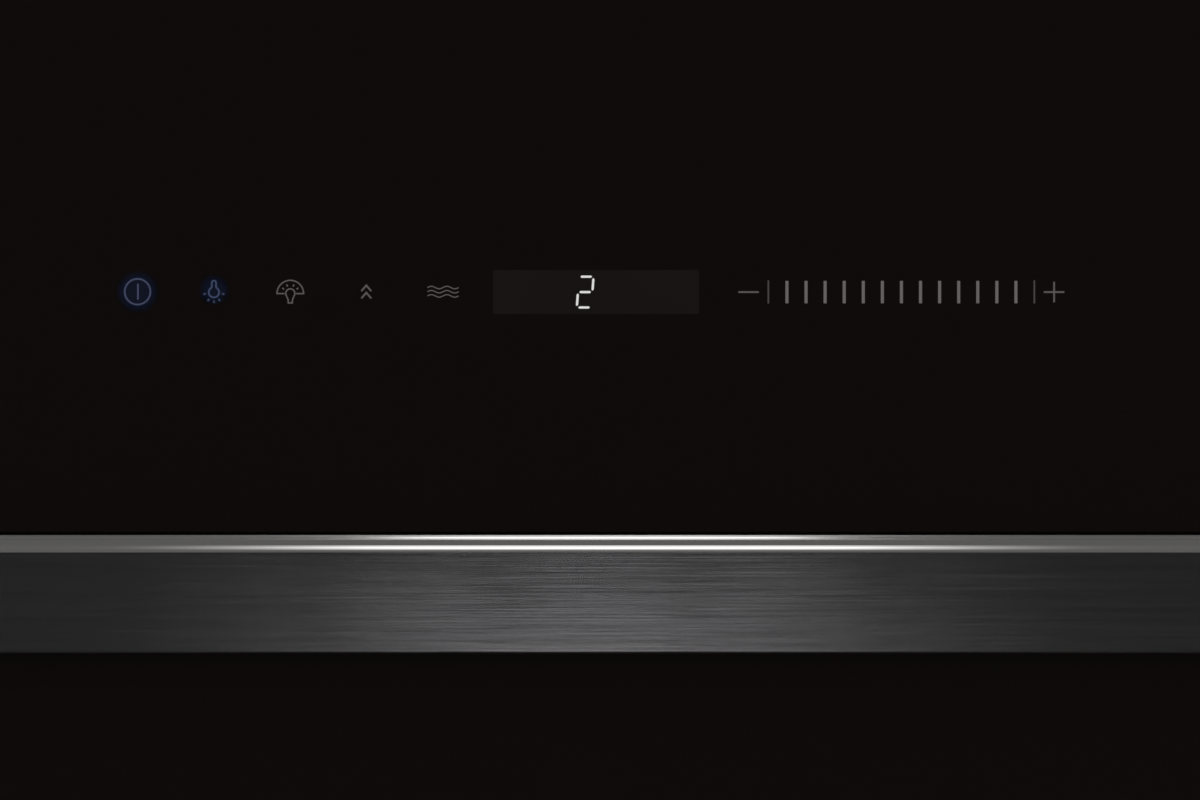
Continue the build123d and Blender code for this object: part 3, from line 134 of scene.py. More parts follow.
class Socket:
    """An output of a shader node, on which maths is written as Python."""

    def __init__(self, shader: "Shader", link: bpy.types.NodeSocket) -> None:
        """Keep the shader and the node's output."""
        self.shader = shader
        self.link = link

    def math(self, operation: str, *others: Any) -> "Socket":
        """Run a Math node whose first value is this socket."""
        return self.shader.math(operation, self, *others)

    def __add__(self, other: Any) -> "Socket":
        """Add."""
        return self.math("ADD", other)

    def __radd__(self, other: Any) -> "Socket":
        """Add, with this socket on the right."""
        return self.math("ADD", other)

    def __sub__(self, other: Any) -> "Socket":
        """Subtract."""
        return self.math("SUBTRACT", other)

    def __rsub__(self, other: Any) -> "Socket":
        """Subtract this socket from a value."""
        return self.shader.math("SUBTRACT", other, self)

    def __mul__(self, other: Any) -> "Socket":
        """Multiply."""
        return self.math("MULTIPLY", other)

    def __rmul__(self, other: Any) -> "Socket":
        """Multiply, with this socket on the right."""
        return self.math("MULTIPLY", other)

    def __truediv__(self, other: Any) -> "Socket":
        """Divide."""
        return self.math("DIVIDE", other)

    def __rtruediv__(self, other: Any) -> "Socket":
        """Divide a value by this socket."""
        return self.shader.math("DIVIDE", other, self)

    def size(self) -> "Socket":
        """Drop the sign."""
        return self.math("ABSOLUTE")

    def smooth(self, low: float, high: float) -> "Socket":
        """Rise smoothly from 0 at `low` to 1 at `high`, or fall where `high` is the lesser.

        Args:
            low: Where the result is 0.
            high: Where the result is 1.

        Returns:
            The mask.
        """
        start, end = (0.0, 1.0) if low < high else (1.0, 0.0)
        places = {"From Min": min(low, high), "From Max": max(low, high)}
        sockets = {"Value": self, **places, "To Min": start, "To Max": end}
        return self.shader.node("ShaderNodeMapRange", {"interpolation_type": "SMOOTHSTEP"}, sockets)


class Shader:
    """The node tree of one finish, or of the surround."""

    def __init__(self, name: str, world: bool = False) -> None:
        """Start an empty material or world.

        Args:
            name: Its name.
            world: Whether it is a world.
        """
        self.output = "ShaderNodeOutputWorld" if world else "ShaderNodeOutputMaterial"
        self.owner = (bpy.data.worlds if world else bpy.data.materials).new(name)
        self.owner.use_nodes = True
        self.tree = self.owner.node_tree
        self.tree.nodes.clear()

    def node(
        self,
        kind: str,
        settings: dict[str, Any] | None = None,
        sockets: dict[Any, Any] | None = None,
        output: Any = 0,
    ) -> Socket:
        """Add any node: its settings first, then the values or links of its sockets.

        Args:
            kind: The node's type.
            settings: Its settings; `stops` holds a ramp's places and grey values.
            sockets: Its input values or links, by name or number; a colour has three values.
            output: The name or number of the output that is wanted.

        Returns:
            That output.
        """
        made = self.tree.nodes.new(kind)
        for key, value in (settings or {}).items():
            if key == "stops":
                self.set_stops(made.color_ramp, value)
            else:
                setattr(made, key, value)
        for key, value in (sockets or {}).items():
            if isinstance(value, Socket):
                self.tree.links.new(value.link, made.inputs[key])
            elif made.inputs[key].type == "RGBA":
                made.inputs[key].default_value = (*value, 1.0)
            else:
                made.inputs[key].default_value = value
        return Socket(self, made.outputs[output])

    @staticmethod
    def set_stops(ramp: bpy.types.ColorRamp, stops: Sequence[Pair]) -> None:
        """Set a grey ramp's stops.

        Args:
            ramp: The ramp.
            stops: Each stop's place and grey value.
        """
        while len(ramp.elements) < len(stops):
            ramp.elements.new(1.0)
        for element, (place, level) in zip(ramp.elements, stops):
            element.position = place
            element.color = (*grey(level), 1.0)

    def math(self, operation: str, *values: Any) -> Socket:
        """Add a Math node."""
        return self.node("ShaderNodeMath", {"operation": operation}, dict(enumerate(values)))

    def dot(self, vector: Socket, direction: Sequence[float]) -> Socket:
        """Measure a vector along a direction."""
        sockets = {0: vector, 1: tuple(direction)}
        return self.node("ShaderNodeVectorMath", {"operation": "DOT_PRODUCT"}, sockets, "Value")

    def place(self) -> Socket:
        """Give the place of the surface in the row frame, in metres."""
        return self.node("ShaderNodeTexCoord", output="Object")

    def along(self, way: Vector, start: Vector = ORIGIN) -> Socket:
        """Measure how far the surface lies from a point, along one direction.

        Args:
            way: The direction.
            start: The point, in metres.

        Returns:
            The distance, in metres.
        """
        return self.dot(self.place(), way) - way.dot(start)

    def stretch(self, scale: Sequence[float]) -> Socket:
        """Give the place, scaled along X, Y and Z."""
        sockets = {0: self.place(), 1: tuple(scale)}
        return self.node("ShaderNodeVectorMath", {"operation": "MULTIPLY"}, sockets)

    def noise(self, scale: float, detail: float = 2.0, vector: Socket | None = None) -> Socket:
        """Add a noise whose value is from 0 to 1.

        Args:
            scale: Its scale, in waves to the metre where the place drives it.
            detail: Its detail.
            vector: What drives it; the place where none is given.

        Returns:
            The noise.
        """
        sockets = {"Vector": vector or self.place(), "Scale": scale, "Detail": detail}
        return self.node("ShaderNodeTexNoise", {}, sockets)

    def blend(self, factor: Any, first: Any, second: Any) -> Socket:
        """Mix two colours.

        Args:
            factor: The share of the second colour.
            first: The first colour.
            second: The second colour.

        Returns:
            The mixed colour.
        """
        sockets = {0: factor, 6: first, 7: second}
        return self.node("ShaderNodeMix", {"data_type": "RGBA"}, sockets, 2)

    def bump(self, height: Socket, depth: float, sharp: float = 0.1) -> Socket:
        """Turn a height into a normal.

        Args:
            height: The height, from 0 to 1.
            depth: How high 1 is, in millimetres.
            sharp: The step over which the slope is measured, as a share of a pixel.

        Returns:
            The normal.
        """
        sockets = {"Height": height, "Distance": depth * MM, "Filter Width": sharp}
        return self.node("ShaderNodeBump", {}, sockets)

    def surface(self, **sockets: Any) -> bpy.types.Material:
        """Finish the material with a Principled surface.

        Args:
            sockets: The shader's values or links, with _ for the blanks of their names.

        Returns:
            The material.
        """
        named = {key.replace("_", " "): value for key, value in sockets.items()}
        return self.end(self.node("ShaderNodeBsdfPrincipled", {}, named))

    def end(self, shade: Socket) -> Any:
        """Send a shader to the output.

        Args:
            shade: The shader.

        Returns:
            The material or world.
        """
        output = self.tree.nodes.new(self.output)
        self.tree.links.new(shade.link, output.inputs["Surface"])
        return self.owner


class Grain(Enum):
    """The axis along which a sheet was brushed."""

    ALONG = 0
    UPRIGHT = 2

    def scales(self, length: float, width: float) -> list[float]:
        """Give the waves to the metre along X, Y and Z of brush lines.

        Args:
            length: How long the lines are, in millimetres.
            width: How wide they are, in millimetres.

        Returns:
            The three scales.
        """
        return [1 / (MM * (length if axis == self.value else width)) for axis in range(3)]


@dataclass(frozen=True)
class BlackGlass:
    """Toughened glass with a black print behind it and a greenish ground edge."""

    name: str = "black_glass"
    print_colour: Triple = (0.0043, 0.0028, 0.0024)
    edge_colour: Triple = (0.010, 0.022, 0.018)
    edge_front: Pair = (-0.4, -0.9)
    edge_back: Pair = (-3.99, -3.7)
    roughness: float = 0.035
    wipe_scale: float = 14.0
    wipe_range: Pair = (0.45, 0.75)
    wipe_gain: float = 0.03

    def make(self) -> bpy.types.Material:
        """Build the material.

        Returns:
            The material.
        """
        s = Shader(self.name)
        out = s.along(SLOPE.out, GLASS_FOOT) / MM
        edge = out.smooth(*self.edge_front) * out.smooth(*self.edge_back)
        wipe = s.noise(self.wipe_scale, 4.0).smooth(*self.wipe_range)
        return s.surface(
            Base_Color=s.blend(edge, self.print_colour, self.edge_colour),
            Roughness=wipe * self.wipe_gain + self.roughness,
            IOR=1.5,
        )


@dataclass(frozen=True)
class BrushedSteel:
    """Steel sheet with fine straight brush lines, whose scratches spread light across them.

    Brush lines, bands and scratches are given by length and width. The scratches lose depth up
    the glass, by `coarse_gain` for each millimetre past `coarse_run`.
    """

    name: str
    tone: float
    grain: Grain
    roughness: float
    depth: float
    line: Pair = (45.0, 0.38)
    band: Pair = (190.0, 1.7)
    scratch: Pair = (45.0, 0.035)
    line_share: float = 0.3
    band_share: float = 0.1
    even_share: float = 0.8
    coarse_run: float = 0.0
    coarse_gain: float = 0.0
    tone_spread: float = 0.04
    band_gain: float = 0.04
    sharp: float = 0.01
    tint: Triple = (1.0, 0.985, 0.97)

    def make(self) -> bpy.types.Material:
        """Build the material.

        Returns:
            The material.
        """
        s = Shader(self.name)
        lines = s.noise(1.0, 1.0, s.stretch(self.grain.scales(*self.line)))
        bands = s.noise(1.0, 1.0, s.stretch(self.grain.scales(*self.band)))
        scratches = s.noise(1.0, 0.0, s.stretch(self.grain.scales(*self.scratch)))
        run = s.along(SLOPE.up, SLOPE.place(0, self.coarse_run)) / MM
        coarse = lines * self.line_share + bands * self.band_share + self.even_share
        darker = grey(self.tone * (1 - self.tone_spread), self.tint)
        lighter = grey(self.tone * (1 + self.tone_spread), self.tint)
        return s.surface(
            Base_Color=s.blend(lines, darker, lighter),
            Metallic=1.0,
            Roughness=bands * self.band_gain + self.roughness,
            Normal=s.bump(scratches * (coarse - run * self.coarse_gain), self.depth, self.sharp),
        )


@dataclass(frozen=True)
class BrightEdge:
    """Bright-cut metal with a trace of drawing lines, smoothest along its upper crest, with painted
    shade beside the crest.
    """

    name: str = "bright_edge"
    tone: float = 0.62
    # Painted shade: the share of the tone kept beside the crest, which darkens the flanks to dim their
    # highlight.
    flank_shade_share: float = 0.76
    flank_low: float = 329.7
    flank_high: float = 329.9
    crest_run: float = 330.35
    crest_fade: Pair = (0.1, 0.35)
    line_scales: Triple = (12.0, 1500.0, 1500.0)
    line_gain: float = 0.03
    flank_gain: float = 0.11
    roughness: float = 0.1
    tint: Triple = (1.0, 0.985, 0.97)

    def make(self) -> bpy.types.Material:
        """Build the material.

        Returns:
            The material.
        """
        s = Shader(self.name)
        lines = s.noise(1.0, 2.0, s.stretch(self.line_scales))
        run = s.along(SLOPE.up, GLASS_FOOT) / MM
        beside_crest = (run - self.crest_run).size().smooth(*self.crest_fade)
        flank = run.smooth(self.flank_low, self.flank_high) * beside_crest
        crest = grey(self.tone, self.tint)
        # Painted shade: beside the crest the base colour is darkened, so that the highlight there is
        # dimmer.
        side = grey(self.tone * self.flank_shade_share, self.tint)
        return s.surface(
            Base_Color=s.blend(flank, crest, side),
            Metallic=1.0,
            Roughness=lines * self.line_gain + flank * self.flank_gain + self.roughness,
        )


@dataclass(frozen=True)
class PowderCoat:
    """Satin powder coat with its fine orange-peel skin and lighter rubbed places."""

    name: str
    colour: Triple
    roughness: float = 0.42
    grain: float = 900.0
    depth: float = 0.06
    rub_scale: float = 9.0
    rub_range: Pair = (0.4, 0.8)
    rub_share: float = 0.5
    rub_gain: float = 0.08
    lighten: Pair = (1.5, 0.002)

    def make(self) -> bpy.types.Material:
        """Build the material.

        Returns:
            The material.
        """
        s = Shader(self.name)
        skin = s.noise(self.grain, 2.0)
        rub = s.noise(self.rub_scale, 5.0).smooth(*self.rub_range)
        return s.surface(
            Base_Color=s.blend(rub * self.rub_share, self.colour, shift(self.colour, *self.lighten)),
            Roughness=rub * self.rub_gain + self.roughness,
            Normal=s.bump(skin, self.depth),
        )


@dataclass(frozen=True)
class ZincSheet:
    """Zinc-coated steel sheet with its spangle."""

    name: str = "zinc_sheet"
    tone: float = 0.46
    dark_share: float = 0.8
    light_share: float = 1.15
    dark_tint: Triple = (0.97, 0.99, 1.0)
    light_tint: Triple = (0.98, 0.99, 1.0)
    spangle: float = 70.0
    spangle_mix: Triple = (0.5, 0.3, 0.2)
    metallic: float = 0.85
    roughness: float = 0.38
    spangle_gain: float = 0.14
    cloud_scale: float = 6.0
    cloud_gain: float = 0.12

    def make(self) -> bpy.types.Material:
        """Build the material.

        Returns:
            The material.
        """
        s = Shader(self.name)
        sockets = {"Vector": s.place(), "Scale": self.spangle}
        flake = s.dot(s.node("ShaderNodeTexVoronoi", {}, sockets, "Color"), self.spangle_mix)
        cloud = s.noise(self.cloud_scale, 4.0)
        darker = grey(self.tone * self.dark_share, self.dark_tint)
        lighter = grey(self.tone * self.light_share, self.light_tint)
        return s.surface(
            Base_Color=s.blend(flake, darker, lighter),
            Metallic=self.metallic,
            Roughness=flake * self.spangle_gain + cloud * self.cloud_gain + self.roughness,
        )


@dataclass(frozen=True)
class Moulded:
    """Moulded plastic or rubber with a fine spark texture and faint flow marks."""

    name: str
    colour: Triple
    roughness: float = 0.5
    grain: float = 1600.0
    depth: float = 0.05
    flow_scale: float = 20.0
    spark_gain: float = 0.1
    lighten: Pair = (1.25, 0.003)

    def make(self) -> bpy.types.Material:
        """Build the material.

        Returns:
            The material.
        """
        s = Shader(self.name)
        spark = s.noise(self.grain, 1.0)
        flow = s.noise(self.flow_scale, 3.0)
        return s.surface(
            Base_Color=s.blend(flow, self.colour, shift(self.colour, *self.lighten)),
            Roughness=spark * self.spark_gain + self.roughness,
            Normal=s.bump(spark, self.depth),
        )


@dataclass(frozen=True)
class SatinAluminium:
    """Rolled or cast metal with a soft satin skin under a faint warm film."""

    name: str
    tone: float = 0.6
    roughness: float = 0.32
    grain: float = 240.0
    depth: float = 0.04
    grain_gain: float = 0.16
    tint: Triple = (0.98, 0.99, 1.0)
    film_scale: float = 11.0
    film_range: Pair = (0.35, 0.8)
    film_share: float = 0.6
    film_tone: float = 0.82
    film_tint: Triple = (1.0, 0.96, 0.88)

    def make(self) -> bpy.types.Material:
        """Build the material.

        Returns:
            The material.
        """
        s = Shader(self.name)
        fine = s.noise(self.grain, 4.0)
        film = s.noise(self.film_scale, 4.0).smooth(*self.film_range)
        clean = grey(self.tone, self.tint)
        warm = grey(self.tone * self.film_tone, self.film_tint)
        return s.surface(
            Base_Color=s.blend(film * self.film_share, clean, warm),
            Metallic=1.0,
            Roughness=fine * self.grain_gain + self.roughness,
            Normal=s.bump(fine, self.depth),
        )


@dataclass(frozen=True)
class CircuitBoard:
    """Green solder mask with copper tracks under it."""

    name: str = "circuit_board"
    mask: Triple = (0.008, 0.07, 0.035)
    track: Triple = (0.02, 0.14, 0.07)
    track_scale: float = 220.0
    track_edge: Pair = (0.09, 0.05)
    depth: float = 0.04
    roughness: float = 0.28
    track_gain: float = 0.1

    def make(self) -> bpy.types.Material:
        """Build the material.

        Returns:
            The material.
        """
        s = Shader(self.name)
        settings = {"feature": "DISTANCE_TO_EDGE"}
        sockets = {"Vector": s.place(), "Scale": self.track_scale}
        edges = s.node("ShaderNodeTexVoronoi", settings, sockets, "Distance")
        tracks = edges.smooth(*self.track_edge)
        return s.surface(
            Base_Color=s.blend(tracks, self.mask, self.track),
            Roughness=tracks * self.track_gain + self.roughness,
            Normal=s.bump(tracks, self.depth),
        )


@dataclass(frozen=True)
class Opal:
    """Frosted light cover."""

    name: str = "opal_cover"
    colour: Triple = (0.82, 0.82, 0.80)
    bloom: Triple = (0.9, 0.9, 0.885)
    frost_scale: float = 700.0
    frost_gain: float = 0.1
    depth: float = 0.03
    roughness: float = 0.4

    def make(self) -> bpy.types.Material:
        """Build the material.

        Returns:
            The material.
        """
        s = Shader(self.name)
        frost = s.noise(self.frost_scale, 2.0)
        return s.surface(
            Base_Color=s.blend(frost, self.colour, self.bloom),
            Roughness=frost * self.frost_gain + self.roughness,
            Normal=s.bump(frost, self.depth),
        )


@dataclass(frozen=True)
class BacklitPrint:
    """A symbol left clear in the black print, with a lamp behind it."""

    name: str
    colour: Triple
    unlit: Triple = (0.005, 0.004, 0.004)
    roughness: float = 0.3
    uneven_scale: float = 1400.0
    dim_share: float = 0.86

    def make(self) -> bpy.types.Material:
        """Build the material.

        Returns:
            The material.
        """
        s = Shader(self.name)
        uneven = s.noise(self.uneven_scale, 1.0)
        return s.surface(
            Base_Color=self.unlit,
            Roughness=self.roughness,
            Emission_Color=s.blend(uneven, shift(self.colour, self.dim_share), self.colour),
            Emission_Strength=1.0,
        )


@dataclass(frozen=True)
class BlueHaze:
    """Light that spreads in the glass round a lit symbol, even up to `full` and gone at `reach`."""

    name: str
    centre: Point
    full: float
    reach: float
    colour: Triple = (0.0002, 0.0027, 0.0112)
    unlit: Triple = (0.005, 0.004, 0.004)
    roughness: float = 0.06

    def make(self) -> bpy.types.Material:
        """Build the material.

        Returns:
            The material.
        """
        s = Shader(self.name)
        spot = SLOPE.place(*self.centre)
        x, run = s.along(ACROSS, spot), s.along(SLOPE.up, spot)
        far = (x * x + run * run).math("SQRT")
        return s.surface(
            Base_Color=self.unlit,
            Roughness=self.roughness,
            Emission_Color=self.colour,
            Emission_Strength=1.0,
            Alpha=far.smooth(self.reach * MM, self.full * MM),
        )


class Finish(Enum):
    """Every finish of the hood."""

    GLASS = BlackGlass()
    TRIM_FACE = BrushedSteel(
        "trim_brushed_steel",
        tone=0.36,
        grain=Grain.ALONG,
        roughness=0.18,
        depth=0.0057,
        scratch=(50.0, 0.02),
        coarse_run=313.0,
        coarse_gain=0.017,
        tint=(1.0, 0.99, 1.015),
    )
    TRIM_EDGE = BrightEdge()
    CAP = Moulded("dark_end_cap", (0.018, 0.018, 0.018), roughness=0.42)
    BODY = PowderCoat("black_powder_coat", (0.014, 0.014, 0.0145))
    CHIMNEY = BrushedSteel(
        "chimney_brushed_steel",
        tone=0.36,
        grain=Grain.UPRIGHT,
        roughness=0.3,
        depth=0.0022,
        line=(260.0, 0.3),
        band=(700.0, 1.3),
        scratch=(300.0, 0.035),
    )
    ZINC = ZincSheet()
    PAN = PowderCoat("black_enamel", (0.018, 0.018, 0.019), roughness=0.3, grain=500.0, depth=0.04)
    PLATED = SatinAluminium("zinc_plated_steel", tone=0.42, roughness=0.3)
    RUBBER = Moulded("black_rubber", (0.018, 0.018, 0.018), roughness=0.72)
    FILTER_RIM = SatinAluminium("filter_channel", tone=0.62, roughness=0.28)
    FILTER_CORE = SatinAluminium("filter_wool", tone=0.4, roughness=0.45, grain=900.0)
    SPRING = SatinAluminium("spring_steel", tone=0.5, roughness=0.22)
    BLOWER = Moulded("blower_moulding", (0.075, 0.077, 0.08), roughness=0.48)
    MOTOR = SatinAluminium("motor_casting", tone=0.48, roughness=0.42)
    COLLAR = Moulded("collar_moulding", (0.03, 0.03, 0.032), roughness=0.46)
    TAPE = Moulded("foam_tape", (0.02, 0.02, 0.02), roughness=0.85)
    BOARD = CircuitBoard()
    GUIDE = Opal("light_guide", (0.55, 0.55, 0.55))
    OPAL = Opal()
    WINDOW = Moulded(
        "display_window", (0.0062, 0.0044, 0.0038), roughness=0.12, grain=300.0, depth=0.002
    )
    DISPLAY = Moulded("display_module", (0.02, 0.02, 0.02), roughness=0.3)
    DIGIT = BacklitPrint("lit_segment", (0.76, 0.745, 0.735))
    BLUE = BacklitPrint("blue_symbol", (0.050, 0.060, 0.118))
    BLUE_LAMP = BacklitPrint("blue_lamp_symbol", (0.040, 0.058, 0.122))
    WARM = BacklitPrint("grey_symbol", (0.094, 0.086, 0.083))
    TICK = BacklitPrint("scale_tick", (0.128, 0.116, 0.113))
    DIVIDER = BacklitPrint("scale_end_line", (0.060, 0.052, 0.052))

    def material(self) -> bpy.types.Material:
        """Give the finish's material, and build it the first time."""
        return bpy.data.materials.get(self.value.name) or self.value.make()


def dress(nodes: Iterable[str], finish: Finish) -> None:
    """Give CAD nodes a finish.

    Args:
        nodes: The nodes' names.
        finish: The finish.
    """
    for name in nodes:
        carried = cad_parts[name]
        carried.data.materials.clear()
        carried.data.materials.append(finish.material())
        log.info("dressed %s with %s", name, finish.value.name)


def add_object(name: str, data: Any) -> bpy.types.Object:
    """Put an object into the scene.

    Args:
        name: Its name.
        data: Its mesh, lamp or camera.

    Returns:
        The object.
    """
    made = bpy.data.objects.new(name, data)
    bpy.context.scene.collection.objects.link(made)
    return made


def close_mesh(shapes: bmesh.types.BMesh, name: str) -> bpy.types.Mesh:
    """Turn finished mesh work into a mesh.

    Args:
        shapes: The mesh work, which is freed.
        name: The mesh's name.

    Returns:
        The mesh.
    """
    mesh = bpy.data.meshes.new(name)
    shapes.to_mesh(mesh)
    shapes.free()
    return mesh


def add_piece(
    mesh: bpy.types.Mesh, material: bpy.types.Material, body: str
) -> None:
    """Show a mesh as a piece that rides on a body.

    Args:
        mesh: The piece's mesh in the row frame, with the piece's name.
        material: Its material.
        body: The body that it rides on.
    """
    piece = add_object(mesh.name, mesh)
    mesh.materials.append(material)
    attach(piece, body)
    log.info("made %s with %d faces", piece.name, len(mesh.polygons))


class GlassPrint:
    """Flat shapes on the glass, gathered into one thin mesh.

    `blunt` keeps the mitre of a sharp corner from running out.
    """

    blunt: float = 0.5

    def __init__(self, name: str, lift: float = 0.03, thickness: float = 0.03) -> None:
        """Start with no shapes.

        Args:
            name: The print's name.
            lift: Height of its underside above the glass, in millimetres.
            thickness: Its thickness, in millimetres.
        """
        self.name = name
        self.lift = lift
        self.thickness = thickness
        self.loops: list[Loop] = []

    def polygon(self, points: Loop) -> None:
        """Add a filled convex outline."""
        self.loops.append(list(points))

    def bar(self, x: float, run: float, width: float, height: float) -> None:
        """Add an upright or flat bar.

        Args:
            x: Its middle.
            run: Its middle up the glass.
            width: Its width.
            height: Its height.
        """
        w, h = width / 2, height / 2
        self.polygon([(x - w, run - h), (x + w, run - h), (x + w, run + h), (x - w, run + h)])

    def stroke(self, points: Loop, width: float, closed: bool = False) -> None:
        """Add a line of even width with mitred corners.

        Args:
            points: The line's points.
            width: Its width.
            closed: Whether it runs back to its start.
        """
        count = len(points)
        sides: list[tuple[Point, Point]] = []
        for i, here in enumerate(points):
            before = points[i - 1] if closed or i else here
            after = points[(i + 1) % count] if closed or i < count - 1 else here
            first = Vector((here[0] - before[0], here[1] - before[1]))
            second = Vector((after[0] - here[0], after[1] - here[1]))
            ways = [way.normalized() for way in (first, second) if way.length]
            along = sum(ways, Vector((0, 0))).normalized()
            across = Vector((-along.y, along.x))
            mitre = 1 / max(self.blunt, abs(Vector((-ways[-1].y, ways[-1].x)).dot(across)))
            step = across * width / 2 * mitre
            sides.append(((here[0] - step.x, here[1] - step.y), (here[0] + step.x, here[1] + step.y)))
        for i in range(count if closed else count - 1):
            a, b = sides[i], sides[(i + 1) % count]
            self.polygon([a[0], b[0], b[1], a[1]])

    def arc(
        self, centre: Point, radius: float, start: float, end: float, width: float, steps: int
    ) -> None:
        """Add a part of a ring.

        Args:
            centre: The ring's centre.
            radius: The radius of its middle line.
            start: The first angle, in degrees.
            end: The last angle, in degrees.
            width: Its line width.
            steps: The straight pieces it is made of.
        """
        whole = abs(end - start) >= FULL_TURN
        angles = [start + (end - start) * i / steps for i in range(steps + (not whole))]
        self.stroke([polar(centre, radius, angle) for angle in angles], width, closed=whole)

    def rays(self, centre: Point, reach: Pair, angles: Iterable[float], width: float) -> None:
        """Add short lines that point away from a centre.

        Args:
            centre: The centre.
            reach: The distances at which they start and end.
            angles: Their angles, in degrees.
            width: Their line width.
        """
        for angle in angles:
            self.stroke([polar(centre, radius, angle) for radius in reach], width)

    def mesh(self) -> bpy.types.Mesh:
        """Build the mesh of all shapes.

        Returns:
            The mesh.
        """
        shapes = bmesh.new()
        for loop in self.loops:
            corners = [shapes.verts.new(SLOPE.place(x, run, self.lift)) for x, run in loop]
            shapes.faces.new(corners)
        grown = bmesh.ops.extrude_face_region(shapes, geom=shapes.faces[:])
        raised = [v for v in grown["geom"] if isinstance(v, bmesh.types.BMVert)]
        bmesh.ops.translate(shapes, verts=raised, vec=SLOPE.out * self.thickness * MM)
        bmesh.ops.recalc_face_normals(shapes, faces=shapes.faces[:])
        return close_mesh(shapes, self.name)

    def show(self, finish: Finish, body: str = "root") -> None:
        """Show the print as a piece.

        Args:
            finish: Its finish.
            body: The body that it rides on.
        """
        add_piece(self.mesh(), finish.material(), body)


@dataclass
class TouchSymbols:
    """The row of touch symbols, back-lit through the black print."""

    row: float = 395.0
    power_x: float = -121.7
    lamp_x: float = -101.6
    mood_x: float = -81.5
    boost_x: float = -61.5
    air_x: float = -41.3
    line: float = 0.42
    thin: float = 0.36
    wave: float = 0.28
    bold: float = 0.46
    ring_r: float = 3.38
    stem_h: float = 4.2
    bulb_r: float = 1.36
    neck: float = 0.56
    cap: float = 2.6
    fan_r: float = 3.5
    glow_r: float = 1.2
    chevron_w: float = 1.3
    chevron_h: float = 1.5
    chevron_rises: Pair = (-1.75, 0.15)
    power_glow: Pair = (3.0, 5.8)
    lamp_glow: Pair = (1.2, 4.4)
    glow_rise: float = 0.6
    lamp_ray: Pair = (2.15, 2.8)
    lamp_ray_w: float = 0.4
    lamp_angles: tuple[float, ...] = (-10, -55, -90, -125, -170)
    mood_ray: Pair = (2.0, 2.6)
    mood_angles: tuple[float, ...] = (35, 68, 112, 145)
    wave_w: float = 8.2
    wave_h: float = 0.34
    wave_rises: Triple = (-1.1, 0.0, 1.1)

    def build(self) -> None:
        """Build and dress every symbol."""
        self.power()
        self.lamp()
        self.mood()
        self.boost()
        self.airflow()

    def haze(self, name: str, centre: Point, glow: Pair) -> None:
        """Lay the blue haze round a lit symbol.

        Args:
            name: The piece's name.
            centre: Its middle.
            glow: The radius up to which it is even, and the one at which it ends.
        """
        disc = GlassPrint(name, lift=0.01, thickness=0.01)
        disc.polygon([polar(centre, glow[1], angle) for angle in range(0, FULL_TURN, 15)])
        add_piece(disc.mesh(), BlueHaze(name, centre, *glow).make(), "root")

    def power(self) -> None:
        """Build the ring and bar of the power key."""
        centre = (self.power_x, self.row)
        shapes = GlassPrint("power_symbol")
        shapes.arc(centre, self.ring_r, 0, FULL_TURN, self.line, 48)
        shapes.bar(self.power_x + 0.1, self.row, self.line, self.stem_h)
        shapes.show(Finish.BLUE)
        self.haze("power_haze", centre, self.power_glow)

    def lamp(self) -> None:
        """Build the hanging bulb with its rays."""
        x, row = self.lamp_x, self.row - 0.15
        join = math.degrees(math.acos(self.neck / self.bulb_r))
        shoulder = polar((x, row), self.bulb_r, join)[1]
        shapes = GlassPrint("lamp_symbol")
        shapes.arc((x, row), self.bulb_r, -180 - join, join, self.line, 28)
        for side in (x - self.neck, x + self.neck):
            shapes.stroke([(side, shoulder), (side, row + self.cap)], self.line)
        shapes.arc((x, row + self.cap - 0.1), self.neck, 0, 180, self.line, 10)
        shapes.rays((x, row), self.lamp_ray, self.lamp_angles, self.lamp_ray_w)
        shapes.show(Finish.BLUE_LAMP)
        self.haze("lamp_haze", (x, row + self.glow_rise), self.lamp_glow)

    def mood(self) -> None:
        """Build the upright bulb under its fan of light."""
        x, row = self.mood_x, self.row - 0.5
        gap, dash = 1.5, 2.2
        neck, base, foot = 0.55, row - 1.7, row - 2.45
        shapes = GlassPrint("mood_light_symbol")
        shapes.arc((x, row), self.fan_r, 0, 180, self.thin, 28)
        for start in (x - dash - gap, x + gap):
            shapes.stroke([(start, row), (start + dash, row)], self.thin)
        shapes.arc((x, row + 0.05), self.glow_r, -40, 220, self.thin, 24)
        left = polar((x, row), self.glow_r, 220)
        right = polar((x, row), self.glow_r, -40)
        cap = [(x - neck, base), (x - neck, foot), (x + neck, foot), (x + neck, base)]
        shapes.stroke([left, *cap, right], self.thin)
        shapes.rays((x, row), self.mood_ray, self.mood_angles, self.thin)
        shapes.show(Finish.WARM)

    def boost(self) -> None:
        """Build the double chevron of the boost key."""
        x, w = self.boost_x, self.chevron_w
        shapes = GlassPrint("boost_symbol")
        for foot in (self.row + rise for rise in self.chevron_rises):
            shapes.stroke([(x - w, foot), (x, foot + self.chevron_h), (x + w, foot)], self.bold)
        shapes.show(Finish.WARM)

    def airflow(self) -> None:
        """Build the three waves of the airflow key."""
        steps = 24
        left = self.air_x - self.wave_w / 2
        shapes = GlassPrint("airflow_symbol")
        for middle in (self.row + rise for rise in self.wave_rises):
            wave = []
            for i in range(steps + 1):
                swing = self.wave_h * math.sin(4 * math.pi * i / steps)
                wave.append((left + self.wave_w * i / steps, middle + swing))
            shapes.stroke(wave, self.wave)
        shapes.show(Finish.WARM)


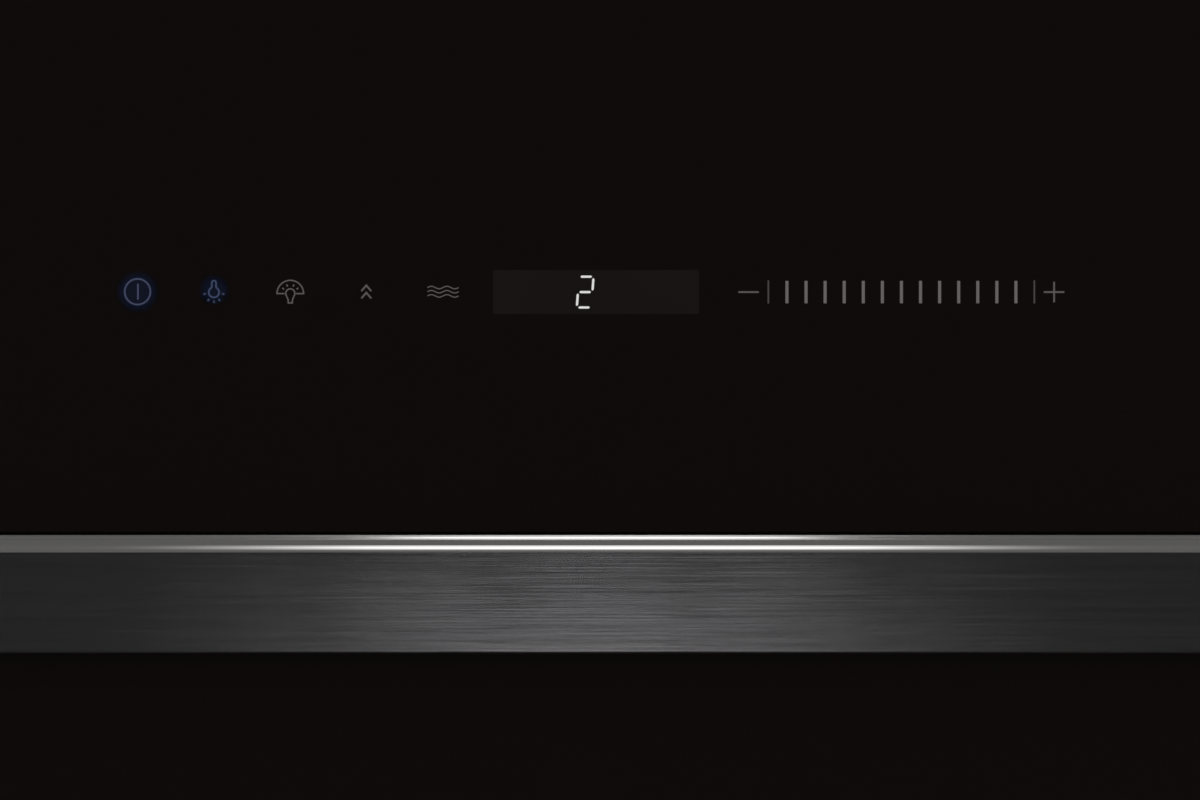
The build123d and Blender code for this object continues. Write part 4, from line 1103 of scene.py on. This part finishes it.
@dataclass
class SpeedScale:
    """The speed slider: minus, thirteen ticks between two end lines, and plus."""

    row: float = 394.9
    minus_x: float = 39.1
    first_tick: float = 49.2
    tick_pitch: float = 5.021
    ticks: int = 13
    tick_w: float = 0.8
    tick_h: float = 5.9
    line_xs: Pair = (44.3, 114.3)
    line_row: float = 394.95
    line_w: float = 0.42
    line_h: float = 6.1
    plus_x: float = 119.5
    sign_half: float = 2.7
    sign_line: float = 0.46

    def build(self) -> None:
        """Build and dress the slider's marks."""
        ticks = GlassPrint("speed_ticks")
        for i in range(self.ticks):
            ticks.bar(self.first_tick + i * self.tick_pitch, self.row, self.tick_w, self.tick_h)
        ticks.show(Finish.TICK)
        lines = GlassPrint("speed_end_lines")
        for x in self.line_xs:
            lines.bar(x, self.line_row, self.line_w, self.line_h)
        lines.show(Finish.DIVIDER)
        signs = GlassPrint("speed_signs")
        for x in (self.minus_x, self.plus_x):
            signs.bar(x, self.row, 2 * self.sign_half, self.sign_line)
        arm = self.sign_half - self.sign_line / 2
        for end in (-1, 1):
            middle = self.row + end * (self.sign_half + self.sign_line / 2) / 2
            signs.bar(self.plus_x, middle, self.sign_line, arm)
        signs.show(Finish.WARM)


@dataclass
class SpeedDisplay:
    """The smoked display window with its one lit digit."""

    row: float = 394.9
    window_x: float = -1.05
    window_w: float = 54.2
    window_h: float = 11.6
    film: float = 0.004
    digit_x: float = -3.9
    digit_w: float = 3.8
    digit_h: float = 8.1
    segment: float = 0.6
    gap: float = 0.36
    slant: float = 0.075

    def build(self) -> None:
        """Build and dress the window and the digit."""
        window = GlassPrint("display_window", self.film, self.film)
        window.bar(self.window_x, self.row, self.window_w, self.window_h)
        window.show(Finish.WINDOW)
        digit = GlassPrint("lit_digit")
        w, h, g = self.digit_w / 2, self.digit_h / 2, self.gap
        for level in (h, 0.0, -h):
            self.part(digit, (-w + g, level), (w - g, level))
        self.part(digit, (w, g), (w, h - g))
        self.part(digit, (-w, -h + g), (-w, -g))
        digit.show(Finish.DIGIT)

    def part(self, shapes: GlassPrint, start: Point, end: Point) -> None:
        """Add one segment of the leaning digit, with pointed ends.

        Args:
            shapes: The print to add it to.
            start: Its left or lower tip, from the digit's middle.
            end: Its right or upper tip.
        """
        t = self.segment / 2
        (x0, y0), (x1, y1) = start, end
        if y0 == y1:
            upper, lower = [(x0 + t, y0 + t), (x1 - t, y0 + t)], [(x1 - t, y0 - t), (x0 + t, y0 - t)]
        else:
            upper, lower = [(x0 + t, y0 + t), (x0 + t, y1 - t)], [(x0 - t, y1 - t), (x0 - t, y0 + t)]
        corners = [start, *upper, end, *lower]
        shapes.polygon([(self.digit_x + x + y * self.slant, self.row + y) for x, y in corners])


@dataclass
class GlassFront:
    """The fixed upper glass with its bond, and the touch controls behind and on it."""

    symbols: TouchSymbols
    scale: SpeedScale
    display: SpeedDisplay

    def build(self) -> None:
        """Build the marks on the glass and dress what carries them."""
        dress(["upper_glass"], Finish.GLASS)
        dress(["glass_bond"], Finish.TAPE)
        dress(["control_housing"], Finish.COLLAR)
        dress(["control_board"], Finish.BOARD)
        dress(["light_guide"], Finish.GUIDE)
        dress(["display_module"], Finish.DISPLAY)
        self.display.build()
        self.symbols.build()
        self.scale.build()


@dataclass
class TrimBar:
    """The brushed bar over the joint of the two glasses, with its bright edge."""

    def build(self) -> None:
        """Dress the bar."""
        dress(["trim_bar"], Finish.TRIM_FACE)
        dress(["trim_edge"], Finish.TRIM_EDGE)
        dress(["trim_end_caps"], Finish.CAP)


def screw_grid(
    xs: Iterable[float], ys: Iterable[float], zs: Iterable[float], way: Vector
) -> list[Spot]:
    """List screws at every meeting of three rows of places.

    Args:
        xs: Their places along the wall.
        ys: Their places into the wall.
        zs: Their heights.
        way: The direction that all of them point in.

    Returns:
        Each screw's place in metres, and its direction.
    """
    return [(MM * Vector((x, y, z)), way) for x in xs for y in ys for z in zs]


def side_screws(x: float, ys: Iterable[float], zs: Iterable[float]) -> list[Spot]:
    """List the same screws on both sides of the hood, pointing away from its middle.

    Args:
        x: Their distance from the middle.
        ys: Their places into the wall.
        zs: Their heights.

    Returns:
        Each screw's place in metres, and its direction.
    """
    return screw_grid((-x,), ys, zs, -ACROSS) + screw_grid((x,), ys, zs, ACROSS)


@dataclass
class Screws:
    """Domed screws with a six-sided recess, as one mesh."""

    radius: float = 3.6
    height: float = 1.9
    recess: float = 1.6
    recess_flat: float = 0.88
    recess_floor: float = 0.35
    corners: int = 12
    dome: tuple[Pair, ...] = ((1.0, 0.0), (0.97, 0.35), (0.8, 0.8), (0.55, 1.0))

    def ring(
        self, shapes: bmesh.types.BMesh, spot: Vector, turn: Quaternion, radii: Pair, rise: float
    ) -> list[bmesh.types.BMVert]:
        """Add one ring of corners.

        Args:
            shapes: The mesh to add them to.
            spot: The middle of the head's foot, in metres.
            turn: The turn that points the head.
            radii: The radii of even and odd corners.
            rise: The ring's height, as a share of the head's.

        Returns:
            The corners.
        """
        made = []
        for i in range(self.corners):
            x, y = polar((0.0, 0.0), radii[i % 2], FULL_TURN * i / self.corners)
            local = MM * Vector((x, y, rise * self.height))
            made.append(shapes.verts.new(spot + turn @ local))
        return made

    def head(self, shapes: bmesh.types.BMesh, spot: Vector, way: Vector) -> None:
        """Add one screw head.

        Args:
            shapes: The mesh to add it to.
            spot: The middle of its foot, in metres.
            way: The direction that it points in.
        """
        turn = way.to_track_quat("Z", "Y")
        sections = [
            self.ring(shapes, spot, turn, (self.radius * share, self.radius * share), rise)
            for share, rise in self.dome
        ]
        hexagon = (self.recess * self.recess_flat, self.recess)
        for depth in (1.0, self.recess_floor):
            sections.append(self.ring(shapes, spot, turn, hexagon, depth))
        for low, high in zip(sections, sections[1:]):
            for i in range(self.corners):
                j = (i + 1) % self.corners
                shapes.faces.new([low[i], low[j], high[j], high[i]])
        shapes.faces.new(sections[-1])

    def build(self, name: str, spots: Iterable[Spot], body: str) -> None:
        """Build a group of screws.

        Args:
            name: The piece's name.
            spots: Each screw's place in metres and its direction.
            body: The body that they ride on.
        """
        shapes = bmesh.new()
        for spot, way in spots:
            self.head(shapes, spot, way)
        mesh = close_mesh(shapes, name)
        for face in mesh.polygons:
            face.use_smooth = True
        add_piece(mesh, Finish.PLATED.material(), body)


@dataclass
class Flap:
    """The lower glass on its pan, with hinges, magnets and bumpers."""

    hinge_x: float = 310.0
    screw_xs: Pair = (-14.0, 14.0)
    screw_runs: Pair = (262.5, 271.5)
    leaf_back: float = -6.5

    def build(self) -> None:
        """Dress the flap and add the screws of its hinge arms."""
        dress(["flap_glass"], Finish.GLASS)
        dress(["flap_frame", "flap_rails"], Finish.PAN)
        dress(["hinge_arms", "hinge_brackets", "hinge_pins"], Finish.PLATED)
        dress(["flap_magnets"], Finish.COLLAR)
        dress(["flap_bumpers"], Finish.RUBBER)
        spots = [
            (SLOPE.place(side * self.hinge_x + x, run, self.leaf_back), -SLOPE.out)
            for side in (-1, 1)
            for x in self.screw_xs
            for run in self.screw_runs
        ]
        Screws(radius=3.0, height=1.5).build("hinge_arm_screws", spots, "flap")


@dataclass
class Filters:
    """The two grease filters in their trays."""

    centre_x: float = 200.0
    middle_run: float = 148.0
    open_w: float = 348.0
    open_h: float = 216.0
    front_out: float = -40.5
    pitch: float = 5.0
    wire: float = 0.7

    def build(self) -> None:
        """Dress the filters and weave their fine mesh."""
        for side, sign in (("left", -1), ("right", 1)):
            rim = [f"filter_frame_{side}", f"filter_handle_{side}", f"filter_mesh_{side}"]
            dress(rim, Finish.FILTER_RIM)
            dress([f"filter_core_{side}"], Finish.FILTER_CORE)
            dress([f"filter_catches_{side}"], Finish.SPRING)
            self.weave(side, sign * self.centre_x)

    def rows(self, middle: float, reach: float) -> list[float]:
        """Space wires evenly over an opening.

        Args:
            middle: The opening's middle.
            reach: Its whole width or height.

        Returns:
            The wires' places.
        """
        count = int(reach / self.pitch)
        return [middle - reach / 2 + reach * i / count for i in range(count + 1)]

    def weave(self, side: str, centre_x: float) -> None:
        """Weave the fine mesh of one filter.

        Args:
            side: The filter's side.
            centre_x: Its middle.
        """
        weft = GlassPrint(f"filter_weft_{side}", self.front_out - self.wire, self.wire / 2)
        for x in self.rows(centre_x, self.open_w):
            weft.bar(x, self.middle_run, self.wire, self.open_h)
        weft.show(Finish.SPRING, f"filter_{side}")
        warp = GlassPrint(f"filter_warp_{side}", self.front_out - self.wire / 2, self.wire / 2)
        for run in self.rows(self.middle_run, self.open_h):
            warp.bar(centre_x, run, self.open_w, self.wire)
        warp.show(Finish.SPRING, f"filter_{side}")


@dataclass
class Blower:
    """The scroll, impeller and motor inside the body."""

    bracket_x: float = 86.0
    centre: Point = (-210.0, 50.0)
    fix_radius: float = 86.0
    fix_angles: Triple = (30.0, 150.0, 270.0)

    def build(self) -> None:
        """Dress the blower and add its bracket's screws."""
        dress(["blower_housing_left", "blower_housing_right", "impeller"], Finish.BLOWER)
        dress(["motor_body", "motor_bracket"], Finish.MOTOR)
        dress(["motor_shaft"], Finish.PLATED)
        dress(["motor_bushes"], Finish.RUBBER)
        feet = [polar(self.centre, self.fix_radius, angle) for angle in self.fix_angles]
        spots = [(MM * Vector((self.bracket_x, y, z)), ACROSS) for y, z in feet]
        Screws().build("motor_bracket_screws", spots, "root")


@dataclass
class Outlet:
    """The collar on the top panel with its two damper flaps."""

    middle_y: float = -140.0
    flange_top: float = 192.0
    corner: float = 76.0

    def build(self) -> None:
        """Dress the outlet and add the screws of its flange."""
        dress(["outlet_collar", "damper_front", "damper_back"], Finish.COLLAR)
        dress(["damper_pin"], Finish.PLATED)
        ys = (self.middle_y - self.corner, self.middle_y + self.corner)
        spots = screw_grid((-self.corner, self.corner), ys, (self.flange_top,), UP)
        Screws().build("collar_screws", spots, "root")


@dataclass
class BodyShell:
    """The folded sheets of the body."""

    half: float = 427.0
    top: float = 190.0
    foot: float = -232.0
    top_ys: Triple = (-440.0, -250.0, -60.0)
    side_zs: Triple = (-190.0, -20.0, 150.0)
    foot_xs: tuple[float, ...] = (-360.0, -180.0, 180.0, 360.0)
    inset: float = 17.0

    def build(self) -> None:
        """Dress the sheets and add their screws."""
        dress(["side_panel_left", "side_panel_right", "top_panel", "bottom_panel"], Finish.BODY)
        dress(["upper_front_panel", "filter_panel", "filter_trays"], Finish.BODY)
        dress(["back_panel", "hang_plates"], Finish.ZINC)
        rim = self.half - self.inset
        tops = screw_grid((-rim, rim), self.top_ys, (self.top,), UP)
        Screws().build("top_panel_screws", tops, "root")
        sides = side_screws(self.half, (-self.inset,), self.side_zs)
        Screws().build("side_panel_screws", sides, "root")
        feet = screw_grid(self.foot_xs, (-self.inset,), (self.foot,), -UP)
        Screws().build("bottom_panel_screws", feet, "root")


@dataclass
class Chimney:
    """The two telescopic covers and the wall bracket."""

    foot_x: float = 127.0
    foot_ys: Pair = (-210.0, -65.0)
    foot_top: float = 191.0
    upper_x: float = 133.0
    upper_y: float = -15.0
    upper_z: float = 783.0

    def build(self) -> None:
        """Dress the covers and add their screws."""
        dress(["chimney_lower", "chimney_upper"], Finish.CHIMNEY)
        dress(["chimney_bracket"], Finish.ZINC)
        feet = screw_grid((-self.foot_x, self.foot_x), self.foot_ys, (self.foot_top,), UP)
        Screws().build("chimney_foot_screws", feet, "root")
        sides = side_screws(self.upper_x, (self.upper_y,), (self.upper_z,))
        Screws(height=1.5).build("chimney_upper_screws", sides, "chimney_slider")


@dataclass
class Lights:
    """The lamps in the underside and the ambient light behind the glass."""

    def build(self) -> None:
        """Dress the lights."""
        dress(["lamp_lenses", "ambient_diffuser"], Finish.OPAL)
        dress(["lamp_bezels", "lamp_housings", "ambient_channel"], Finish.MOTOR)


@dataclass
class Mains:
    """The mains box on the back panel and the gland in the top panel."""

    lid_front: float = -63.0
    lid_xs: Pair = (-384.0, -236.0)
    lid_zs: Pair = (93.0, 171.0)

    def build(self) -> None:
        """Dress the mains parts and add the lid's screws."""
        dress(["power_box", "power_box_lid"], Finish.COLLAR)
        dress(["power_board"], Finish.BOARD)
        dress(["cable_gland"], Finish.CAP)
        corners = screw_grid(self.lid_xs, (self.lid_front,), self.lid_zs, -DEEP)
        Screws(radius=3.0).build("mains_lid_screws", corners, "root")


@dataclass
class Card:
    """A card of light bent round the trim bar, between two angles above the camera's axis."""

    name: str
    radius: float
    half: float
    low: float
    high: float
    strips: int

    def mesh(self) -> bpy.types.Mesh:
        """Bend the card.

        Returns:
            Its mesh.
        """
        shapes = bmesh.new()
        rails = []
        for i in range(self.strips + 1):
            a = math.radians(self.low + (self.high - self.low) * i / self.strips)
            way = SLOPE.out * math.cos(a) + SLOPE.up * math.sin(a)
            spot = TRIM_MIDDLE + self.radius * MM * way
            ends = (spot - self.half * MM * ACROSS, spot + self.half * MM * ACROSS)
            rails.append([shapes.verts.new(end) for end in ends])
        for first, second in zip(rails, rails[1:]):
            shapes.faces.new([first[0], first[1], second[1], second[0]])
        return close_mesh(shapes, self.name)

    def hang(self, s: Shader, level: Socket, clear_share: Socket | float = 0.0) -> None:
        """Hang the card, so that only mirror rays meet it.

        Args:
            s: Its shader.
            level: How bright it is.
            clear_share: How clear it is.
        """
        glow = s.node("ShaderNodeEmission", {}, {"Color": level})
        clear = s.node("ShaderNodeBsdfTransparent")
        mix = s.node("ShaderNodeMixShader", {}, {0: clear_share, 1: glow, 2: clear})
        mesh = self.mesh()
        mesh.materials.append(s.end(mix))
        card = add_object(self.name, mesh)
        card.visible_camera = False
        card.visible_diffuse = False
        card.visible_shadow = False
        card.visible_transmission = False
        card.visible_volume_scatter = False


@dataclass
class Studio:
    """Camera, lights, pale floor and the cards that the metal and the glass mirror.

    The cards' low, high, from and to are angles above the camera's axis, in degrees.
    `box_profile` gives the soft box's share of light at such angles.
    """

    lens: float = 100.0
    sensor: float = 36.0
    frame_w: float = 315.8
    aim_run: float = 366.5
    lit_level: float = 0.55
    seen_level: float = 0.94
    floor_z: float = -1050.0
    floor_radius: float = 9000.0
    floor_fade: Pair = (2000.0, 8500.0)
    floor_tones: Pair = (0.80, 0.83)
    lamp_aim: Triple = (0.0, -0.25, 0.2)
    dark_radius: float = 1000.0
    dark_half: float = 950.0
    dark_low: float = -128.0
    dark_high: float = 112.0
    dark_fade: Pair = (620.0, 950.0)
    dark_rise: Pair = (280.0, 380.0)
    dark_gain: float = 0.134
    dark_level: float = 0.025
    light_radius: float = 950.0
    box_x: float = 5.5
    box_end: float = 282.0
    box_level: float = 7.0
    box_cap: float = 2.2
    box_profile: tuple[Pair, ...] = (
        (21, 0.0), (27, 0.20), (33, 0.50), (35.5, 1.0), (41.5, 1.0), (45, 0.52), (52, 0.46), (60, 0.34)
    )
    strip_low: float = 73.0
    strip_high: float = 81.5
    strip_full: float = 102.0
    strip_end: float = 124.0
    strip_level: float = 1.8
    dusk_level: float = 0.131
    low_from: float = -28.0
    low_to: float = -15.0
    low_end: float = 218.0
    low_level: float = 1.55

    def build(self) -> None:
        """Set the whole studio up."""
        self.camera()
        self.world()
        self.floor()
        self.lamp("key_light", (-1.6, -2.2, 2.0), 1.8, 62.0)
        self.lamp("fill_light", (2.2, -1.6, 0.9), 1.6, 34.0)
        self.lamp("back_light", (0.6, 2.4, 1.9), 1.8, 44.0)
        self.dark_card()
        self.soft_box()
        self.strip_light()
        self.low_card()

    def camera(self) -> None:
        """Look square at the glass, framed as in the photograph."""
        data = bpy.data.cameras.new("camera")
        data.lens = self.lens
        data.sensor_width = self.sensor
        data.clip_start = 0.02
        data.clip_end = 60
        camera = add_object("camera", data)
        camera.location = SLOPE.place(0, self.aim_run, self.frame_w * self.lens / self.sensor)
        camera.rotation_euler = SLOPE.out.to_track_quat("Z", "Y").to_euler()
        bpy.context.scene.camera = camera

    def world(self) -> None:
        """Set a surround that looks paler than the light that it gives."""
        s = Shader("pale_surround", world=True)
        kinds = ("Is Camera Ray", "Is Glossy Ray", "Is Transmission Ray")
        camera, glossy, clear = (s.node("ShaderNodeLightPath", output=kind) for kind in kinds)
        seen = camera.math("MAXIMUM", glossy).math("MAXIMUM", clear)
        levels = {"Value": seen, "To Min": self.lit_level, "To Max": self.seen_level}
        strength = s.node("ShaderNodeMapRange", {}, levels)
        sockets = {"Color": grey(1.0), "Strength": strength}
        bpy.context.scene.world = s.end(s.node("ShaderNodeBackground", {}, sockets))

    def floor(self) -> None:
        """Lay a pale round floor that fades into the surround."""
        shapes = bmesh.new()
        bmesh.ops.create_circle(shapes, cap_ends=True, segments=96, radius=self.floor_radius * MM)
        bmesh.ops.translate(shapes, verts=shapes.verts[:], vec=(0, 0, self.floor_z * MM))
        mesh = close_mesh(shapes, "pale_floor")
        s = Shader("pale_floor")
        x, y = s.along(ACROSS), s.along(DEEP)
        near, gone = self.floor_fade
        far = (x * x + y * y).math("SQRT").smooth(near * MM, gone * MM)
        darker, lighter = (grey(tone) for tone in self.floor_tones)
        colour = s.blend(s.noise(3.0, 3.0), darker, lighter)
        matt = s.node("ShaderNodeBsdfDiffuse", {}, {"Color": colour})
        clear = s.node("ShaderNodeBsdfTransparent")
        mesh.materials.append(s.end(s.node("ShaderNodeMixShader", {}, {0: far, 1: matt, 2: clear})))
        floor = add_object("pale_floor", mesh)

    def lamp(self, name: str, spot: Triple, size: float, power: float) -> None:
        """Hang one large soft lamp that points at the hood.

        Args:
            name: The lamp's name.
            spot: Its place, in metres.
            size: Its side, in metres.
            power: Its power, in watts.
        """
        data = bpy.data.lights.new(name, "AREA")
        data.shape = "SQUARE"
        data.size = size
        data.energy = power
        lamp = add_object(name, data)
        lamp.location = spot
        back = Vector(spot) - Vector(self.lamp_aim)
        lamp.rotation_euler = back.to_track_quat("Z", "Y").to_euler()
        lamp.visible_glossy = False

    def dark_card(self) -> None:
        """Bend a dark card round the front, so that the black glass mirrors darkness."""
        s = Shader("dark_card")
        rise = s.along(SLOPE.up, TRIM_MIDDLE) / MM
        level = rise.smooth(*self.dark_rise) * self.dark_gain + self.dark_level
        side = (s.along(ACROSS) / MM).size().smooth(*self.dark_fade)
        card = Card("dark_card", self.dark_radius, self.dark_half, self.dark_low, self.dark_high, 48)
        card.hang(s, level, side)

    def soft_box(self) -> None:
        """Hang the soft box that shows in the metal, brightest in the middle."""
        s = Shader("soft_box")
        aside = s.along(ACROSS, SLOPE.place(self.box_x, 0)).size()
        fall = (1 - aside / (self.box_end * MM)).math("MAXIMUM", 0.0)
        rise = s.along(SLOPE.up, TRIM_MIDDLE) / (self.light_radius * MM)
        stops = [(math.sin(math.radians(angle)), share) for angle, share in self.box_profile]
        profile = s.node("ShaderNodeValToRGB", {"stops": stops}, {0: rise})
        level = (fall * fall * self.box_level).math("MINIMUM", self.box_cap) * profile
        low, high = self.box_profile[0][0], self.box_profile[-1][0]
        card = Card("soft_box", self.light_radius, self.box_end, low, high, 16)
        card.hang(s, level + self.dusk_level)

    def strip_light(self) -> None:
        """Hang the short strip light over the trim that draws its upper highlight."""
        s = Shader("strip_light")
        side = (s.along(ACROSS) / MM).size()
        level = side.smooth(self.strip_end, self.strip_full) * self.strip_level
        reach = (self.strip_end, self.strip_low, self.strip_high)
        Card("strip_light", self.light_radius, *reach, 4).hang(s, level + self.dusk_level)

    def low_card(self) -> None:
        """Hang the soft low card that the brush lines spread over the middle of the trim's face."""
        s = Shader("low_card")
        side = (s.along(ACROSS) / MM).size()
        level = side.smooth(self.low_end, 0.0) * self.low_level
        reach = (self.low_end, self.low_from, self.low_to)
        Card("low_card", self.light_radius, *reach, 4).hang(s, level + self.dark_level)


def write_sizes() -> None:
    """Log the end of the build."""
    log.info("sizes written")


def main() -> None:
    """Build the hood's pieces in order, then the studio."""
    bpy.context.scene.view_settings.view_transform = "Standard"
    for assembly in (
        BodyShell(),
        GlassFront(TouchSymbols(), SpeedScale(), SpeedDisplay()),
        TrimBar(),
        Flap(),
        Filters(),
        Blower(),
        Outlet(),
        Chimney(),
        Lights(),
        Mains(),
        Studio(),
    ):
        assembly.build()
        log.info("built %s", type(assembly).__name__)
    write_sizes()


if __name__ == "__main__":
    logging.basicConfig(level=logging.INFO, format="%(message)s")
    main()
